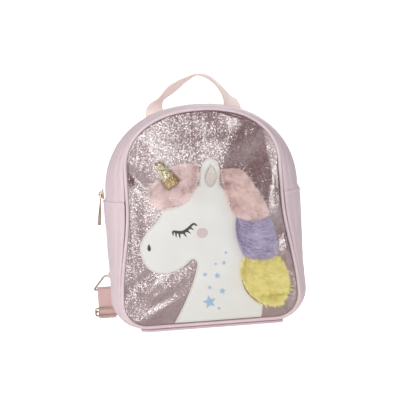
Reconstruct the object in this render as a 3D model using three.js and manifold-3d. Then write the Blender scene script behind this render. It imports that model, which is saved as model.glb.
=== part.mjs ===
// A child's small backpack: a stuffed leatherette shell on a flat base, closed over its arch by a zip, with a
// carrying loop, two webbing shoulder straps and a glitter front that carries a unicorn's head with a plush mane.
// Millimetres, +Z up. The front faces -Y, and the origin is the middle of the base's underside.
import * as THREE from "three";
import { TessellateModifier } from "three/addons/modifiers/TessellateModifier.js";
import { mergeVertices } from "three/addons/utils/BufferGeometryUtils.js";
import Module from "manifold-3d";

const wasm = await Module();
wasm.setup();

const GAP = 0.3; // clearance between pieces that are sewn or laid together
const SHELL = 1.8; // leatherette on its backing cloth
const LOWER_SHELL = 2.6; // the doubled leatherette of the lower sides and bottom
const LOWER_PROUD = 0.9; // how far that doubled wall stands out past the upper one
const FRONT_CLOTH = 1.8; // glitter cloth on its backing
const ZIP_END = 148; // height of the cross seams where the zip stops
const ARCH_POWER = 2.2; // the arch is a superellipse of this power

// The body's outline from front to back. base, waist and arch are half widths low down, at the zip's end and at the
// arch's spring; spring, top and bottom are heights; corner is the radius of the lower corners.
const SECTIONS = [
  { depth: -45, base: 99, waist: 86.5, arch: 86.5, spring: 182, top: 246, bottom: 6, corner: 27 },
  { depth: -32, base: 106, waist: 101.5, arch: 99.5, spring: 166, top: 249, bottom: 4.8, corner: 30 },
  { depth: -4, base: 109.7, waist: 110.5, arch: 109, spring: 153, top: 250, bottom: 4.4, corner: 33 },
  { depth: 26, base: 108, waist: 108, arch: 106, spring: 155, top: 248.5, bottom: 4.6, corner: 31 },
  { depth: 43, base: 101, waist: 101, arch: 98.5, spring: 161, top: 244, bottom: 5.6, corner: 28 },
];
const STEPS = { bottom: 2, corner: 5, side: 4, shoulder: 2, arch: 11 }; // facets of half an outline

const PIPING = 2; // radius of the cord around the front seam
const FRONT_BULGE = 13; // how far stuffing pushes the front out
const BACK_BULGE = 3;
const PANEL_MIDDLE = 122; // height of the middle of the front and back panels
// Rings of facets of the front and back panels, as shares of the way to the rim.
const FRONT_RINGS = [1, 0.95, 0.86, 0.72, 0.54, 0.3];
const BACK_RINGS = [1, 0.85, 0.5];
// Soft creases of the front: middle, half length, half width, turn from level and depth (a ridge is below zero).
const CREASES = [
  { x: -66, z: 168, length: 26, width: 9, turn: -45, depth: 2.6 },
  { x: 60, z: 184, length: 34, width: 17, turn: 80, depth: 3.4 },
  { x: 78, z: 150, length: 34, width: 7, turn: 88, depth: -1.6 },
  { x: -62, z: 34, length: 34, width: 8, turn: 30, depth: 2.4 },
  { x: -70, z: 48, length: 30, width: 6, turn: 32, depth: -1.4 },
  { x: 8, z: 222, length: 30, width: 9, turn: 6, depth: 1.8 },
];

const BASE = { half_length: 80, half_depth: 41, corner: 9, thickness: 2.9 };

const ZIP_DEPTH = 8; // the zip's centre line runs a little behind the middle of the depth
const ZIP_HALF = 8; // half width of its tape
// Across the tape: place from the centre line, and lift of the outer face from the body's outline.
const ZIP_PROFILE = [
  { across: -8, lift: -1.3 },
  { across: -2.7, lift: -1.3 },
  { across: -2.1, lift: 0 },
  { across: 2.1, lift: 0 },
  { across: 2.7, lift: -1.3 },
  { across: 8, lift: -1.3 },
];
const ZIP_TAPE = 1.1;
const SLIDER = { z: 155, length: 11, width: 8.4, thickness: 1.9, bail: 2.9, wire: 0.7 };
// The pull: a flat eye on the bail, then a bar that grows wider and thicker towards its foot.
const PULL = { thickness: 1.4, eye_half: 3.2, slot_half: 1.8, slot: 5.4, neck: 1.5, lean: 7, length: 35 };
const PULL_BAR = [
  { down: 5.8, wide: 1.5, deep: 0.7 },
  { down: 10, wide: 1.6, deep: 0.9 },
  { down: 22, wide: 2.6, deep: 1.5 },
  { down: 34, wide: 3.6, deep: 2.1 },
  { down: 35, wide: 3.2, deep: 1.7 },
];

const HANDLE = { width: 20, thickness: 1.6 };
// The carrying loop from its left foot to its right one: turn is the angle of its width from across the bag.
const HANDLE_ROUTE = [
  { x: -46, y: 47.2, z: 224, turn: 0 },
  { x: -46, y: 47.7, z: 236, turn: 0 },
  { x: -45, y: 48.1, z: 242, turn: 4 },
  { x: -43, y: 47.8, z: 247.5, turn: 30 },
  { x: -40, y: 47.8, z: 252.5, turn: 56 },
  { x: -36.5, y: 47.6, z: 257, turn: 66 },
  { x: -30.5, y: 48, z: 262.3, turn: 58 },
  { x: -24.8, y: 48.2, z: 266.5, turn: 48 },
  { x: -16.5, y: 48.6, z: 271.7, turn: 52 },
  { x: -7, y: 48.8, z: 277, turn: 62 },
  { x: 7, y: 49, z: 281.8, turn: 74 },
  { x: 18, y: 48.8, z: 278.8, turn: 75 },
  { x: 28, y: 48.4, z: 270.4, turn: 76 },
  { x: 35.4, y: 48, z: 260.5, turn: 70 },
  { x: 39.8, y: 48.1, z: 251.5, turn: 56 },
  { x: 42.4, y: 48.3, z: 246, turn: 24 },
  { x: 44.4, y: 48.1, z: 241, turn: 4 },
  { x: 45, y: 47.7, z: 234, turn: 0 },
  { x: 45, y: 47.2, z: 224, turn: 0 },
];

const STRAP = { width: 20, thickness: 1.6, anchor: 20 }; // anchor: how far the top end is from the middle
const WIRE = 1.1; // radius of the wire of the strap's ring and slider
// The ring's long side is at y and z; its short side is higher, nearer the bag and nearer the middle.
const RING = { y: 62, z: 40, half_base: 14, half_top: 9, rise: 17, lean: 12, skew: 8 };
// The slider is a hoop in front of the webbing, with a bar set back behind it.
const TRIGLIDE = { z: 14.4, pitch: 4.3, half_length: 13.6 };
const TAB = { width: 10, thickness: 1.4, sewn_at: 86 };
const STRAP_SIDES = [
  { name: "left", side: -1, foot: 115 },
  { name: "right", side: 1, foot: 90 },
];

const LEATHER = 1.6; // white leatherette of the head
const LAID = 0.8; // clearance under pieces that lie on the front
// The head's edge from the nose, clockwise: each row ends a stretch that bends towards a point.
const HEAD_START = [-77, 96];
const HEAD = [
  { name: "nose", bend: [-73, 111], end: [-62, 119.5] },
  { name: "forehead", bend: [-53, 127], end: [-49, 136] },
  { name: "brow", bend: [-46, 140], end: [-36, 140.5] },
  { name: "under_forelock", bend: [-24, 141], end: [-18, 153] },
  { name: "foot_of_ear", bend: [-14, 161], end: [-6, 162.5] },
  { name: "front_of_ear", bend: [-6.5, 188], end: [7, 192.5] },
  { name: "back_of_ear", bend: [20, 190], end: [18, 172] },
  { name: "poll", bend: [16.5, 164], end: [17, 160.5] },
  { name: "crown", bend: [25, 154], end: [26.5, 140] },
  { name: "crest", bend: [28, 131], end: [33, 125] },
  { name: "nape", bend: [28, 104], end: [40, 80] },
  { name: "back_of_neck", bend: [31, 58], end: [38, 42] },
  { name: "withers", bend: [44, 30], end: [57, 23] },
  { name: "hem_corner", bend: [56.5, 16], end: [55, 8.8] },
  { name: "hem", bend: [5, 8.6], end: [-43.5, 8.8] },
  { name: "front_of_neck", bend: [-22, 44], end: [-14.8, 71] },
  { name: "throat", bend: [-13, 79.5], end: [-19.5, 80.5] },
  { name: "jaw", bend: [-31, 68], end: [-49, 65.5] },
  { name: "chin", bend: [-75, 65], end: [-77, 96] },
];
const EAR_START = [8.8, 183.5];
const EAR_OPENING = [
  { name: "front", bend: [-2.5, 170], end: [4.5, 161.5] },
  { name: "foot", bend: [6.5, 159.8], end: [9, 161.8] },
  { name: "back", bend: [18, 171], end: [8.8, 183.5] },
];
// The horn's middle line on the front, its half widths and half thicknesses, and how far plush lifts its foot.
const HORN = { base: [-33.8, 164], tip: [-51.5, 190.5], half_base: 8.8, half_tip: 5.2,
  thick_base: 3, thick_tip: 2, foot_lift: 4 };

// The plush pieces: how many locks lie side by side, how high they stand, and the bent lines of (x, z) from which
// they grow and at which they end.
const FUR = [
  { name: "forelock", colour: 0xd9bcb9, locks: 6, height: 8,
    root: [[-7.5, 184], [-6, 164], [-22, 148]], tip: [[-31, 182], [-76, 155], [-50, 142]] },
  { name: "mane_pink", colour: 0xcfada9, locks: 7, height: 9,
    root: [[20.5, 176], [23, 152], [33.5, 128.5]], tip: [[38, 175], [56, 157], [67, 125.5]] },
  { name: "mane_lilac", colour: 0xa79ab8, locks: 6, height: 9,
    root: [[35, 124], [28.5, 104], [40, 82]], tip: [[68, 121], [75.5, 102], [74, 79]] },
  { name: "mane_yellow", colour: 0xd6c888, locks: 7, height: 9,
    root: [[41, 78.5], [28, 50], [55, 27]], tip: [[78, 74], [93, 46], [69, 23.5]] },
];
// Along a lock: place, lift of its middle as a share of its height, and its half width and half depth as shares.
const LOCK = [
  { place: 0.02, lift: 0.45, wide: 0.75, deep: 0.7 },
  { place: 0.35, lift: 0.7, wide: 1, deep: 1 },
  { place: 0.7, lift: 0.66, wide: 0.85, deep: 0.9 },
  { place: 1, lift: 0.5, wide: 0.15, deep: 0.15 },
];

const vec = (x, y, z) => new THREE.Vector3(x, y, z);
const ease = (share) => (1 - Math.cos(Math.PI * share)) / 2;
const steps = (count) => Array.from({ length: count + 1 }, (_, i) => i / count);

// A closed mesh of indexed faces, turned to face outwards.
function solid(points, faces) {
  const volume = faces.reduce((sum, _, i) => (i % 3 ? sum : sum
    + points[faces[i]].dot(points[faces[i + 1]].clone().cross(points[faces[i + 2]]))), 0);
  const outward = volume < 0 ? faces.map((_, i) => faces[i % 3 === 1 ? i + 1 : i % 3 === 2 ? i - 1 : i]) : faces;
  const geometry = new THREE.BufferGeometry();
  geometry.setAttribute("position", new THREE.Float32BufferAttribute(points.flatMap((p) => p.toArray()), 3));
  geometry.setIndex(outward);
  return geometry;
}

// A wall between two grids of points. As a ring its columns run round, and a pair of middles closes its last row.
function wall(outside, inside, ring = false, middles = null) {
  const [rows, columns] = [outside.length, outside[0].length];
  const at = (face, row, column) => (face * rows + row) * columns + (column % columns);
  const faces = [];
  const quad = (a, b, c, d) => faces.push(a, b, c, a, c, d);
  const spans = ring ? columns : columns - 1;
  const end = rows - 1;
  for (let c = 0; c < spans; c += 1) {
    for (let r = 0; r < end; r += 1) {
      quad(at(0, r, c), at(0, r, c + 1), at(0, r + 1, c + 1), at(0, r + 1, c));
      quad(at(1, r, c), at(1, r + 1, c), at(1, r + 1, c + 1), at(1, r, c + 1));
    }
    quad(at(0, 0, c), at(1, 0, c), at(1, 0, c + 1), at(0, 0, c + 1));
    if (middles) {
      const middle = 2 * rows * columns;
      faces.push(at(0, end, c), at(0, end, c + 1), middle, at(1, end, c + 1), at(1, end, c), middle + 1);
    } else {
      quad(at(0, end, c), at(0, end, c + 1), at(1, end, c + 1), at(1, end, c));
    }
  }
  for (let r = 0; r < end && !ring; r += 1) {
    quad(at(0, r, 0), at(0, r + 1, 0), at(1, r + 1, 0), at(1, r, 0));
    quad(at(0, r, spans), at(1, r, spans), at(1, r + 1, spans), at(0, r + 1, spans));
  }
  return solid([...outside.flat(), ...inside.flat(), ...(middles ?? [])], faces);
}

// A body through loops of points, with flat ends unless the loops run round.
function loft(loops, closed = false) {
  const count = loops[0].length;
  const at = (loop, corner) => (loop % loops.length) * count + (corner % count);
  const last = loops.length - 1;
  const faces = [];
  for (let s = 0; s < (closed ? last + 1 : last); s += 1) {
    for (let c = 0; c < count; c += 1) {
      faces.push(at(s, c), at(s, c + 1), at(s + 1, c + 1), at(s, c), at(s + 1, c + 1), at(s + 1, c));
    }
  }
  for (let c = 1; c + 1 < count && !closed; c += 1) {
    faces.push(at(0, 0), at(0, c + 1), at(0, c), at(last, 0), at(last, c), at(last, c + 1));
  }
  return solid(loops.flat(), faces);
}

// Loops of a section that follows a path. across(i) is the way the width faces at point i of the path.
function follow(path, across, section, closed = false) {
  const last = path.length - 1;
  return path.map((point, i) => {
    const after = path[closed ? (i + 1) % path.length : Math.min(i + 1, last)];
    const before = path[closed ? (i + last) % path.length : Math.max(i - 1, 0)];
    const way = after.clone().sub(before).normalize();
    const wide = across(i).clone();
    wide.addScaledVector(way, -wide.dot(way)).normalize();
    const through = way.clone().cross(wide);
    return section.map(([a, b]) => point.clone().addScaledVector(wide, a).addScaledVector(through, b));
  });
}
const SQUARE = [[-1, -1], [1, -1], [1, 1], [-1, 1]];
const flat = ({ width, thickness }) => SQUARE.map(([a, b]) => [a * width / 2, b * thickness / 2]);
const round = (radius, sides = 6) => steps(sides).slice(1)
  .map((share) => [radius * Math.cos(2 * Math.PI * share), radius * Math.sin(2 * Math.PI * share)]);
const smooth = (points, count) => new THREE.CatmullRomCurve3(points, false, "centripetal").getPoints(count);

// A closed path through corners that are rounded from a set distance before each to as far after it.
function roundedLoop(corners, reach, facets = 3) {
  return corners.flatMap((corner, i) => {
    const toward = (other) => corner.clone().add(other.clone().sub(corner).setLength(reach));
    const before = toward(corners.at(i - 1));
    const after = toward(corners[(i + 1) % corners.length]);
    return new THREE.QuadraticBezierCurve3(before, corner, after).getPoints(facets);
  });
}

// Bodies are joined and cut through these two.
function body(geometry) {
  const bare = geometry.clone();
  ["normal", "uv"].forEach((name) => bare.deleteAttribute(name));
  const merged = mergeVertices(bare, 1e-3);
  return new wasm.Manifold(new wasm.Mesh({ numProp: 3, triVerts: Uint32Array.from(merged.index.array),
    vertProperties: Float32Array.from(merged.attributes.position.array) }));
}
function meshOf(manifold) {
  const mesh = manifold.getMesh();
  const geometry = new THREE.BufferGeometry();
  geometry.setAttribute("position", new THREE.BufferAttribute(Float32Array.from(mesh.vertProperties), 3));
  geometry.setIndex(Array.from(mesh.triVerts));
  return geometry;
}

// The body's measures at a depth, on smooth curves through the rows of SECTIONS.
function sectionAt(depth) {
  const last = SECTIONS.length - 1;
  let i = 0;
  while (i < last - 1 && SECTIONS[i + 1].depth < depth) i += 1;
  const [near, far] = [SECTIONS[i], SECTIONS[i + 1]];
  const span = far.depth - near.depth;
  const t = (depth - near.depth) / span;
  const slope = (key, k) => {
    const [a, b] = [SECTIONS[Math.max(k - 1, 0)], SECTIONS[Math.min(k + 1, last)]];
    return span * (b[key] - a[key]) / (b.depth - a.depth);
  };
  return Object.fromEntries(Object.keys(near).map((key) => [key,
    (1 + 2 * t) * (1 - t) ** 2 * near[key] + t * (1 - t) ** 2 * slope(key, i)
    + t ** 2 * (3 - 2 * t) * far[key] + t ** 2 * (t - 1) * slope(key, i + 1)]));
}

// One outline as (x, z) pairs, from the middle of the bottom up the right side, over the arch and down the left.
function outline({ base, waist, arch, spring, top, bottom, corner }) {
  const foot = bottom + corner;
  const half = [
    ...steps(STEPS.bottom).slice(0, -1).map((t) => [(base - corner) * t, bottom]),
    ...steps(STEPS.corner).slice(0, -1).map((t) => Math.PI / 2 * t)
      .map((a) => [base - corner + corner * Math.sin(a), foot - corner * Math.cos(a)]),
    ...steps(STEPS.side).slice(0, -1)
      .map((t) => [base + (waist - base) * ease(t), foot + (ZIP_END - foot) * t]),
    ...steps(STEPS.shoulder).slice(0, -1)
      .map((t) => [waist + (arch - waist) * ease(t), ZIP_END + (spring - ZIP_END) * t]),
    ...steps(STEPS.arch).map((t) => [Math.cos(Math.PI / 2 * t), Math.sin(Math.PI / 2 * t)])
      .map(([c, s]) => [Math.max(0, c) ** (2 / ARCH_POWER), s ** (2 / ARCH_POWER)])
      .map(([x, z]) => [arch * x, spring + (top - spring) * z]),
  ];
  return [...half, ...half.slice(1, -1).reverse().map(([x, z]) => [-x, z])];
}
const COLUMNS = outline(SECTIONS[0]).length;
const SEAM = STEPS.bottom + STEPS.corner + STEPS.side; // column of the right cross seam
const UPPER = steps(COLUMNS - 2 * SEAM).map((_, i) => SEAM + i);
const LOWER = steps(2 * SEAM).map((_, i) => COLUMNS - SEAM + i);

// A point of the body's surface at a column of the outline and a depth, lifted along the surface's own normal.
function skin(column, depth, lift) {
  const at = (c, y) => {
    const [x, z] = outline(sectionAt(y))[((c % COLUMNS) + COLUMNS) % COLUMNS];
    return vec(x, y, z);
  };
  const along = at(column + 1, depth).sub(at(column - 1, depth));
  const back = at(column, depth + 0.5).sub(at(column, depth - 0.5));
  return at(column, depth).addScaledVector(back.cross(along).normalize(), lift);
}

// A strip of the body over some columns, its two ends drawn back from the cross seams. Rows hold depth and lift.
function strip(columns, rows, thickness) {
  const grid = (row, inset) => {
    const points = columns.map((c) => skin(c, row.depth, row.lift - inset));
    const end = points.length - 1;
    [[0, 1], [end, end - 1]].forEach(([a, b]) => points[a].add(points[b].clone().sub(points[a]).setLength(GAP)));
    return points;
  };
  return wall(rows.map((row) => grid(row, 0)), rows.map((row) => grid(row, row.inset ?? thickness)));
}
const spread = (from, to, count, lift) => steps(count).map((t) => ({ depth: from + (to - from) * t, lift }));

// The front and back panels are rings of points drawn in from a rim towards a middle.
const insetRim = (row, inset) => {
  const rim = outline(row);
  return rim.map(([x, z], i) => {
    const [after, before] = [rim[(i + 1) % COLUMNS], rim[(i + COLUMNS - 1) % COLUMNS]];
    const [dx, dz] = [after[0] - before[0], after[1] - before[1]];
    return [x - inset * dz / Math.hypot(dx, dz), z + inset * dx / Math.hypot(dx, dz)];
  });
};
const FRONT_RIM = insetRim(SECTIONS[0], PIPING + GAP);
const BACK_RIM = outline(SECTIONS.at(-1));

// How far (x, z) is from a panel's middle, as a share of the way to its rim.
function shareOut(rim, x, z) {
  const [px, pz] = [x, z - PANEL_MIDDLE];
  let share = 0;
  rim.forEach(([ax, az], i) => {
    const [bx, bz] = rim[(i + 1) % rim.length];
    const [ux, uz, wx, wz] = [ax, az - PANEL_MIDDLE, bx - ax, bz - az];
    share = Math.max(share, (px * wz - pz * wx) / (ux * wz - uz * wx));
  });
  return Math.min(1, share);
}
function frontY(x, z) {
  const out = shareOut(FRONT_RIM, x, z);
  const creased = CREASES.reduce((sum, crease) => {
    const turn = THREE.MathUtils.degToRad(crease.turn);
    const [dx, dz] = [x - crease.x, z - crease.z];
    const along = (dx * Math.cos(turn) + dz * Math.sin(turn)) / crease.length;
    const off = (dz * Math.cos(turn) - dx * Math.sin(turn)) / crease.width;
    return sum + crease.depth * Math.exp(-(along ** 2) - off ** 2);
  }, 0);
  return SECTIONS[0].depth - FRONT_CLOTH / 2 - FRONT_BULGE * (1 - out ** 2.2) + creased * (1 - out ** 6);
}
const backY = (x, z) => SECTIONS.at(-1).depth + SHELL + BACK_BULGE * (1 - shareOut(BACK_RIM, x, z) ** 2.2);
const overBack = (x, z, width) => Math.max(backY(x - width / 2, z), backY(x + width / 2, z));
const onFront = (x, z, lift) => vec(x, frontY(x, z) - lift, z);

function panel(rim, rings, surface, thickness) {
  const grid = (lift) => rings.map((share) => rim.map(([x, z]) => {
    const [px, pz] = [x * share, PANEL_MIDDLE + (z - PANEL_MIDDLE) * share];
    return vec(px, surface(px, pz) + lift, pz);
  }));
  const middle = (lift) => vec(0, surface(0, PANEL_MIDDLE) + lift, PANEL_MIDDLE);
  return wall(grid(0), grid(thickness), true, [middle(0), middle(thickness)]);
}

// A flat shape of (x, z) laid over the front, its underside at a lift from the cloth.
function drape(shape, lift, thickness, grow = 0) {
  const plain = new THREE.ExtrudeGeometry(shape, { depth: thickness, curveSegments: 6, bevelEnabled: grow > 0,
    bevelSize: grow, bevelThickness: 0.05, bevelSegments: 1 });
  const fine = new TessellateModifier(26, 8).modify(plain);
  const place = fine.attributes.position;
  for (let i = 0; i < place.count; i += 1) {
    const [x, z, out] = [place.getX(i), place.getY(i), place.getZ(i)];
    place.setXYZ(i, x, frontY(x, z) - lift - out, z);
  }
  return fine;
}
function bentShape(start, rows, kind = THREE.Shape) {
  const shape = new kind();
  shape.moveTo(...start);
  rows.forEach(({ bend, end }) => shape.quadraticCurveTo(...bend, ...end));
  return shape;
}

const group = new THREE.Group();
function add(name, geometry, color, roughness, metalness = 0) {
  const mesh = new THREE.Mesh(geometry, new THREE.MeshStandardMaterial({ color, roughness, metalness }));
  mesh.name = name;
  group.add(mesh);
}
const PINK = 0xdccacd;
const WEBBING = 0xe3c2bd;
const METAL = 0xd2ab92;
const WHITE = 0xe9e8e4;

// Shell: the glitter front, its piping, the strips that make the depth, the back and the base.
const [frontEdge, backEdge] = [SECTIONS[0].depth + PIPING + GAP, SECTIONS.at(-1).depth - GAP];
add("front_panel", panel(FRONT_RIM, FRONT_RINGS, frontY, FRONT_CLOTH), 0xc9b3b8, 0.35);
const pipingPath = outline(SECTIONS[0]).map(([x, z]) => vec(x, SECTIONS[0].depth, z));
add("front_piping", loft(follow(pipingPath, () => vec(0, 1, 0), round(PIPING), true), true), 0xe0ced1, 0.5);
add("gusset_front", strip(UPPER, spread(frontEdge, ZIP_DEPTH - ZIP_HALF - GAP, 5, 0), SHELL), PINK, 0.5);
const zipRows = ZIP_PROFILE.map(({ across, lift }) => ({ depth: ZIP_DEPTH + across, lift,
  inset: lift - ZIP_PROFILE[0].lift + ZIP_TAPE }));
add("zip_tape", strip(UPPER, zipRows, ZIP_TAPE), 0xcbb0b4, 0.7);
add("gusset_back", strip(UPPER, spread(ZIP_DEPTH + ZIP_HALF + GAP, backEdge, 4, 0), SHELL), PINK, 0.5);
add("gusset_lower", strip(LOWER, spread(frontEdge, backEdge, 7, LOWER_PROUD), LOWER_SHELL), PINK, 0.5);
add("back_panel", panel(BACK_RIM, BACK_RINGS, backY, -SHELL), PINK, 0.55);
const roundedShape = (corners, reach) => new THREE.Shape(roundedLoop(corners.map(([x, y]) => vec(x, y, 0)), reach)
  .map(({ x, y }) => new THREE.Vector2(x, y)));
const baseShape = roundedShape(SQUARE.map(([a, b]) => [a * BASE.half_length, b * BASE.half_depth]), BASE.corner);
add("base_panel", new THREE.ExtrudeGeometry(baseShape, { depth: BASE.thickness, bevelEnabled: false }), PINK, 0.6);

// Zip slider with its bail on the left side, and the pull that hangs from the bail.
const wallX = skin(COLUMNS - SEAM, ZIP_DEPTH, 0).x;
const sliderX = wallX - GAP - SLIDER.thickness;
const sideways = new THREE.Matrix4().makeBasis(vec(0, 1, 0), vec(0, 0, 1), vec(1, 0, 0));
const upright = (shape, depth, x) =>
  new THREE.ExtrudeGeometry(shape, { depth, bevelEnabled: false, curveSegments: 4 })
    .applyMatrix4(sideways).translate(x, 0, 0);
const sliderShape = roundedShape([[-0.8, -1], [0.8, -1], [1, 1], [-1, 1]]
  .map(([a, b]) => [ZIP_DEPTH + a * SLIDER.width / 2, SLIDER.z + b * SLIDER.length / 2]), 2.4);
const sliderBody = upright(sliderShape, SLIDER.thickness, sliderX);
const bailX = sliderX - 0.4;
const bailPath = steps(10).map((t) => THREE.MathUtils.degToRad(-115 + 230 * t))
  .map((a) => vec(bailX - SLIDER.bail * Math.cos(a), ZIP_DEPTH, SLIDER.z + SLIDER.bail * Math.sin(a)));
const bail = loft(follow(bailPath, () => vec(0, 1, 0), round(SLIDER.wire)));
add("zip_slider", meshOf(body(sliderBody).add(body(bail))), METAL, 0.3, 1);
const pivot = vec(sliderX - 1.35, ZIP_DEPTH, SLIDER.z - 0.3);
const [eye, slot, neck] = [PULL.eye_half, PULL.slot, PULL.neck];
const pullShape = new THREE.Shape();
pullShape.moveTo(-eye + 1, 0.7).lineTo(eye - 1, 0.7).quadraticCurveTo(eye, 0.7, eye, -0.4).lineTo(eye, -slot - 0.8)
  .quadraticCurveTo(neck, -slot - 2, neck, -slot - 3.6).lineTo(-neck, -slot - 3.6)
  .quadraticCurveTo(-neck, -slot - 2, -eye, -slot - 0.8).lineTo(-eye, -0.4)
  .quadraticCurveTo(-eye, 0.7, -eye + 1, 0.7);
pullShape.holes.push(new THREE.Path([[-1, -0.7], [-1, -slot], [1, -slot], [1, -0.7]]
  .map(([a, z]) => new THREE.Vector2(a * PULL.slot_half, z))));
const pullEye = upright(pullShape, PULL.thickness, -PULL.thickness / 2);
const pullBar = loft(PULL_BAR.map(({ down, wide, deep }) =>
  round(1, 8).map(([a, b]) => vec(b * deep, a * wide, -down))));
const pull = meshOf(body(pullEye).add(body(pullBar))).rotateY(THREE.MathUtils.degToRad(PULL.lean));
add("zip_pull", pull.translate(pivot.x, pivot.y, pivot.z), METAL, 0.3, 1);

// Carrying loop of webbing, sewn flat to the back at both feet and turned edge on over the middle.
const handlePath = smooth(HANDLE_ROUTE.map(({ x, y, z }) => vec(x, y, z)), 48);
const turnLine = new THREE.SplineCurve(HANDLE_ROUTE.map(({ turn }, i) => new THREE.Vector2(i, turn)));
const handleTurns = turnLine.getPoints(48).map(({ y }) => THREE.MathUtils.degToRad(y))
  .map((turn) => vec(Math.cos(turn), Math.sin(turn), 0));
add("handle", loft(follow(handlePath, (i) => handleTurns[i], flat(HANDLE))), WEBBING, 0.75);

// Shoulder straps: each falls from the top of the back, turns up at the bottom through its slider, and folds over
// the long side of a wire ring that a tab holds to the back.
STRAP_SIDES.forEach(({ name, side, foot: reach }) => {
  const x = side * reach;
  const across = () => vec(1, 0, 0);
  const off = WIRE + 0.4 + STRAP.thickness / 2;
  const [front, rear] = [RING.y - off, RING.y + off];
  const top = side * STRAP.anchor;
  const sewn = (z) => vec(top, overBack(top, z, STRAP.width) + GAP + STRAP.thickness / 2, z);
  const between = (share) => x + (top - x) * share;
  const lowerBar = TRIGLIDE.z - TRIGLIDE.pitch;
  const fold = steps(6).map((t) => Math.PI * t)
    .map((a) => vec(x, RING.y + off * Math.cos(a), RING.z + off * Math.sin(a)));
  const strapPath = smooth([
    vec(x, rear, RING.z - 9), ...fold, vec(x, front, RING.z - 8), vec(x, front, TRIGLIDE.z),
    vec(x, front, lowerBar + 0.5), vec(x, front + 0.8, lowerBar - 2.1), vec(x, RING.y + 0.3, lowerBar - 3.2),
    vec(x, rear, lowerBar - 1.6), vec(x, rear + 1.2, TRIGLIDE.z), vec(between(0.1), rear + 6, 30),
    vec(between(0.31), rear + 17, 52), vec(between(0.38), rear + 25, 90), vec(between(0.5), rear + 28, 140),
    vec(between(0.72), rear + 21, 185), vec(between(0.88), rear + 7, 218), vec(between(0.97), rear - 9, 234),
    sewn(234).add(vec(0, 3, 1)), sewn(226), sewn(214), sewn(200),
  ], 70);
  add(`strap_${name}`, loft(follow(strapPath, across, flat(STRAP))), WEBBING, 0.75);

  const ringTop = vec(x - side * RING.skew, RING.y - RING.lean, RING.z + RING.rise);
  const ringCorners = [...[-1, 1].map((a) => vec(x + a * RING.half_base, RING.y, RING.z)),
    ...[1, -1].map((a) => ringTop.clone().add(vec(a * RING.half_top, 0, 0)))];
  const ringNormal = () => vec(0, RING.rise, RING.lean).normalize();
  const ring = loft(follow(roundedLoop(ringCorners, 2.6), ringNormal, round(WIRE), true), true);
  add(`strap_ring_${name}`, ring, METAL, 0.3, 1);

  const frame = roundedLoop(SQUARE.map(([a, b]) =>
    vec(x + a * TRIGLIDE.half_length, front - off, TRIGLIDE.z + b * TRIGLIDE.pitch)), 2.4);
  const hoop = loft(follow(frame, () => vec(0, 1, 0), round(WIRE), true), true);
  const barPath = [[-1, 0], [-0.9, 2], [0.9, 2], [1, 0]]
    .map(([a, back]) => vec(x + a * TRIGLIDE.half_length, front - off + back * off, TRIGLIDE.z));
  const bar = loft(follow(barPath, () => vec(0, 0, 1), round(WIRE)));
  add(`strap_slider_${name}`, meshOf(body(hoop).add(body(bar))), METAL, 0.3, 1);

  const hold = WIRE + 0.4 + TAB.thickness / 2;
  const onBack = (z, lift) =>
    vec(side * TAB.sewn_at, overBack(TAB.sewn_at, z, TAB.width) + lift + TAB.thickness / 2, z);
  const around = steps(6).map((t) => Math.PI * (1 + t))
    .map((a) => vec(ringTop.x, ringTop.y + hold * Math.cos(a), ringTop.z + hold * Math.sin(a)));
  const tabPath = smooth([onBack(ringTop.z + 28, GAP), onBack(ringTop.z + 16, GAP), ...around,
    onBack(ringTop.z + 14, GAP * 2 + TAB.thickness), onBack(ringTop.z + 26, GAP * 2 + TAB.thickness)], 26);
  add(`strap_tab_${name}`, loft(follow(tabPath, across, flat(TAB))), PINK, 0.55);
});

// Unicorn: a white leatherette head with an opening in its ear, the ear's inside, a padded horn and the plush.
const headShape = bentShape(HEAD_START, HEAD);
const earOpening = () => bentShape(EAR_START, EAR_OPENING, THREE.Path);
const clearShape = bentShape(HEAD_START, HEAD);
headShape.holes.push(earOpening());
add("head", drape(headShape, LAID, LEATHER), WHITE, 0.5);
const earMiddle = [0, 1].map((k) => EAR_OPENING.reduce((sum, { end }) => sum + end[k], 0) / EAR_OPENING.length);
const within = ([x, z]) => [earMiddle[0] + (x - earMiddle[0]) * 0.9, earMiddle[1] + (z - earMiddle[1]) * 0.93];
const earInside = bentShape(within(EAR_START),
  EAR_OPENING.map(({ bend, end }) => ({ bend: within(bend), end: within(end) })));
add("ear_inside", drape(earInside, LAID, LEATHER - 0.5), 0xcdc2bb, 0.8);

const hornLoops = (grow) => [0, 0.3, 0.6, 0.85, 0.95, 1].map((t, i, all) => {
  const [x, z] = HORN.base.map((v, k) => v + (HORN.tip[k] - v) * t);
  const axis = new THREE.Vector2(HORN.tip[0] - HORN.base[0], HORN.tip[1] - HORN.base[1]).normalize();
  const blunt = i === all.length - 1 ? 0.62 : 1;
  const half = blunt * THREE.MathUtils.lerp(HORN.half_base, HORN.half_tip, t) + grow;
  const thick = THREE.MathUtils.lerp(HORN.thick_base, HORN.thick_tip, t);
  const out = t ? grow : -grow;
  const place = onFront(x + axis.x * out, z + axis.y * out, LAID + thick + HORN.foot_lift * (1 - t));
  return round(1, 12).map(([a, b]) => place.clone()
    .add(vec(-axis.y * a * half, (blunt * thick + grow) * b, axis.x * a * half)));
});
add("horn", loft(hornLoops(0)), 0xc4b085, 0.35, 0.4);

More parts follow.
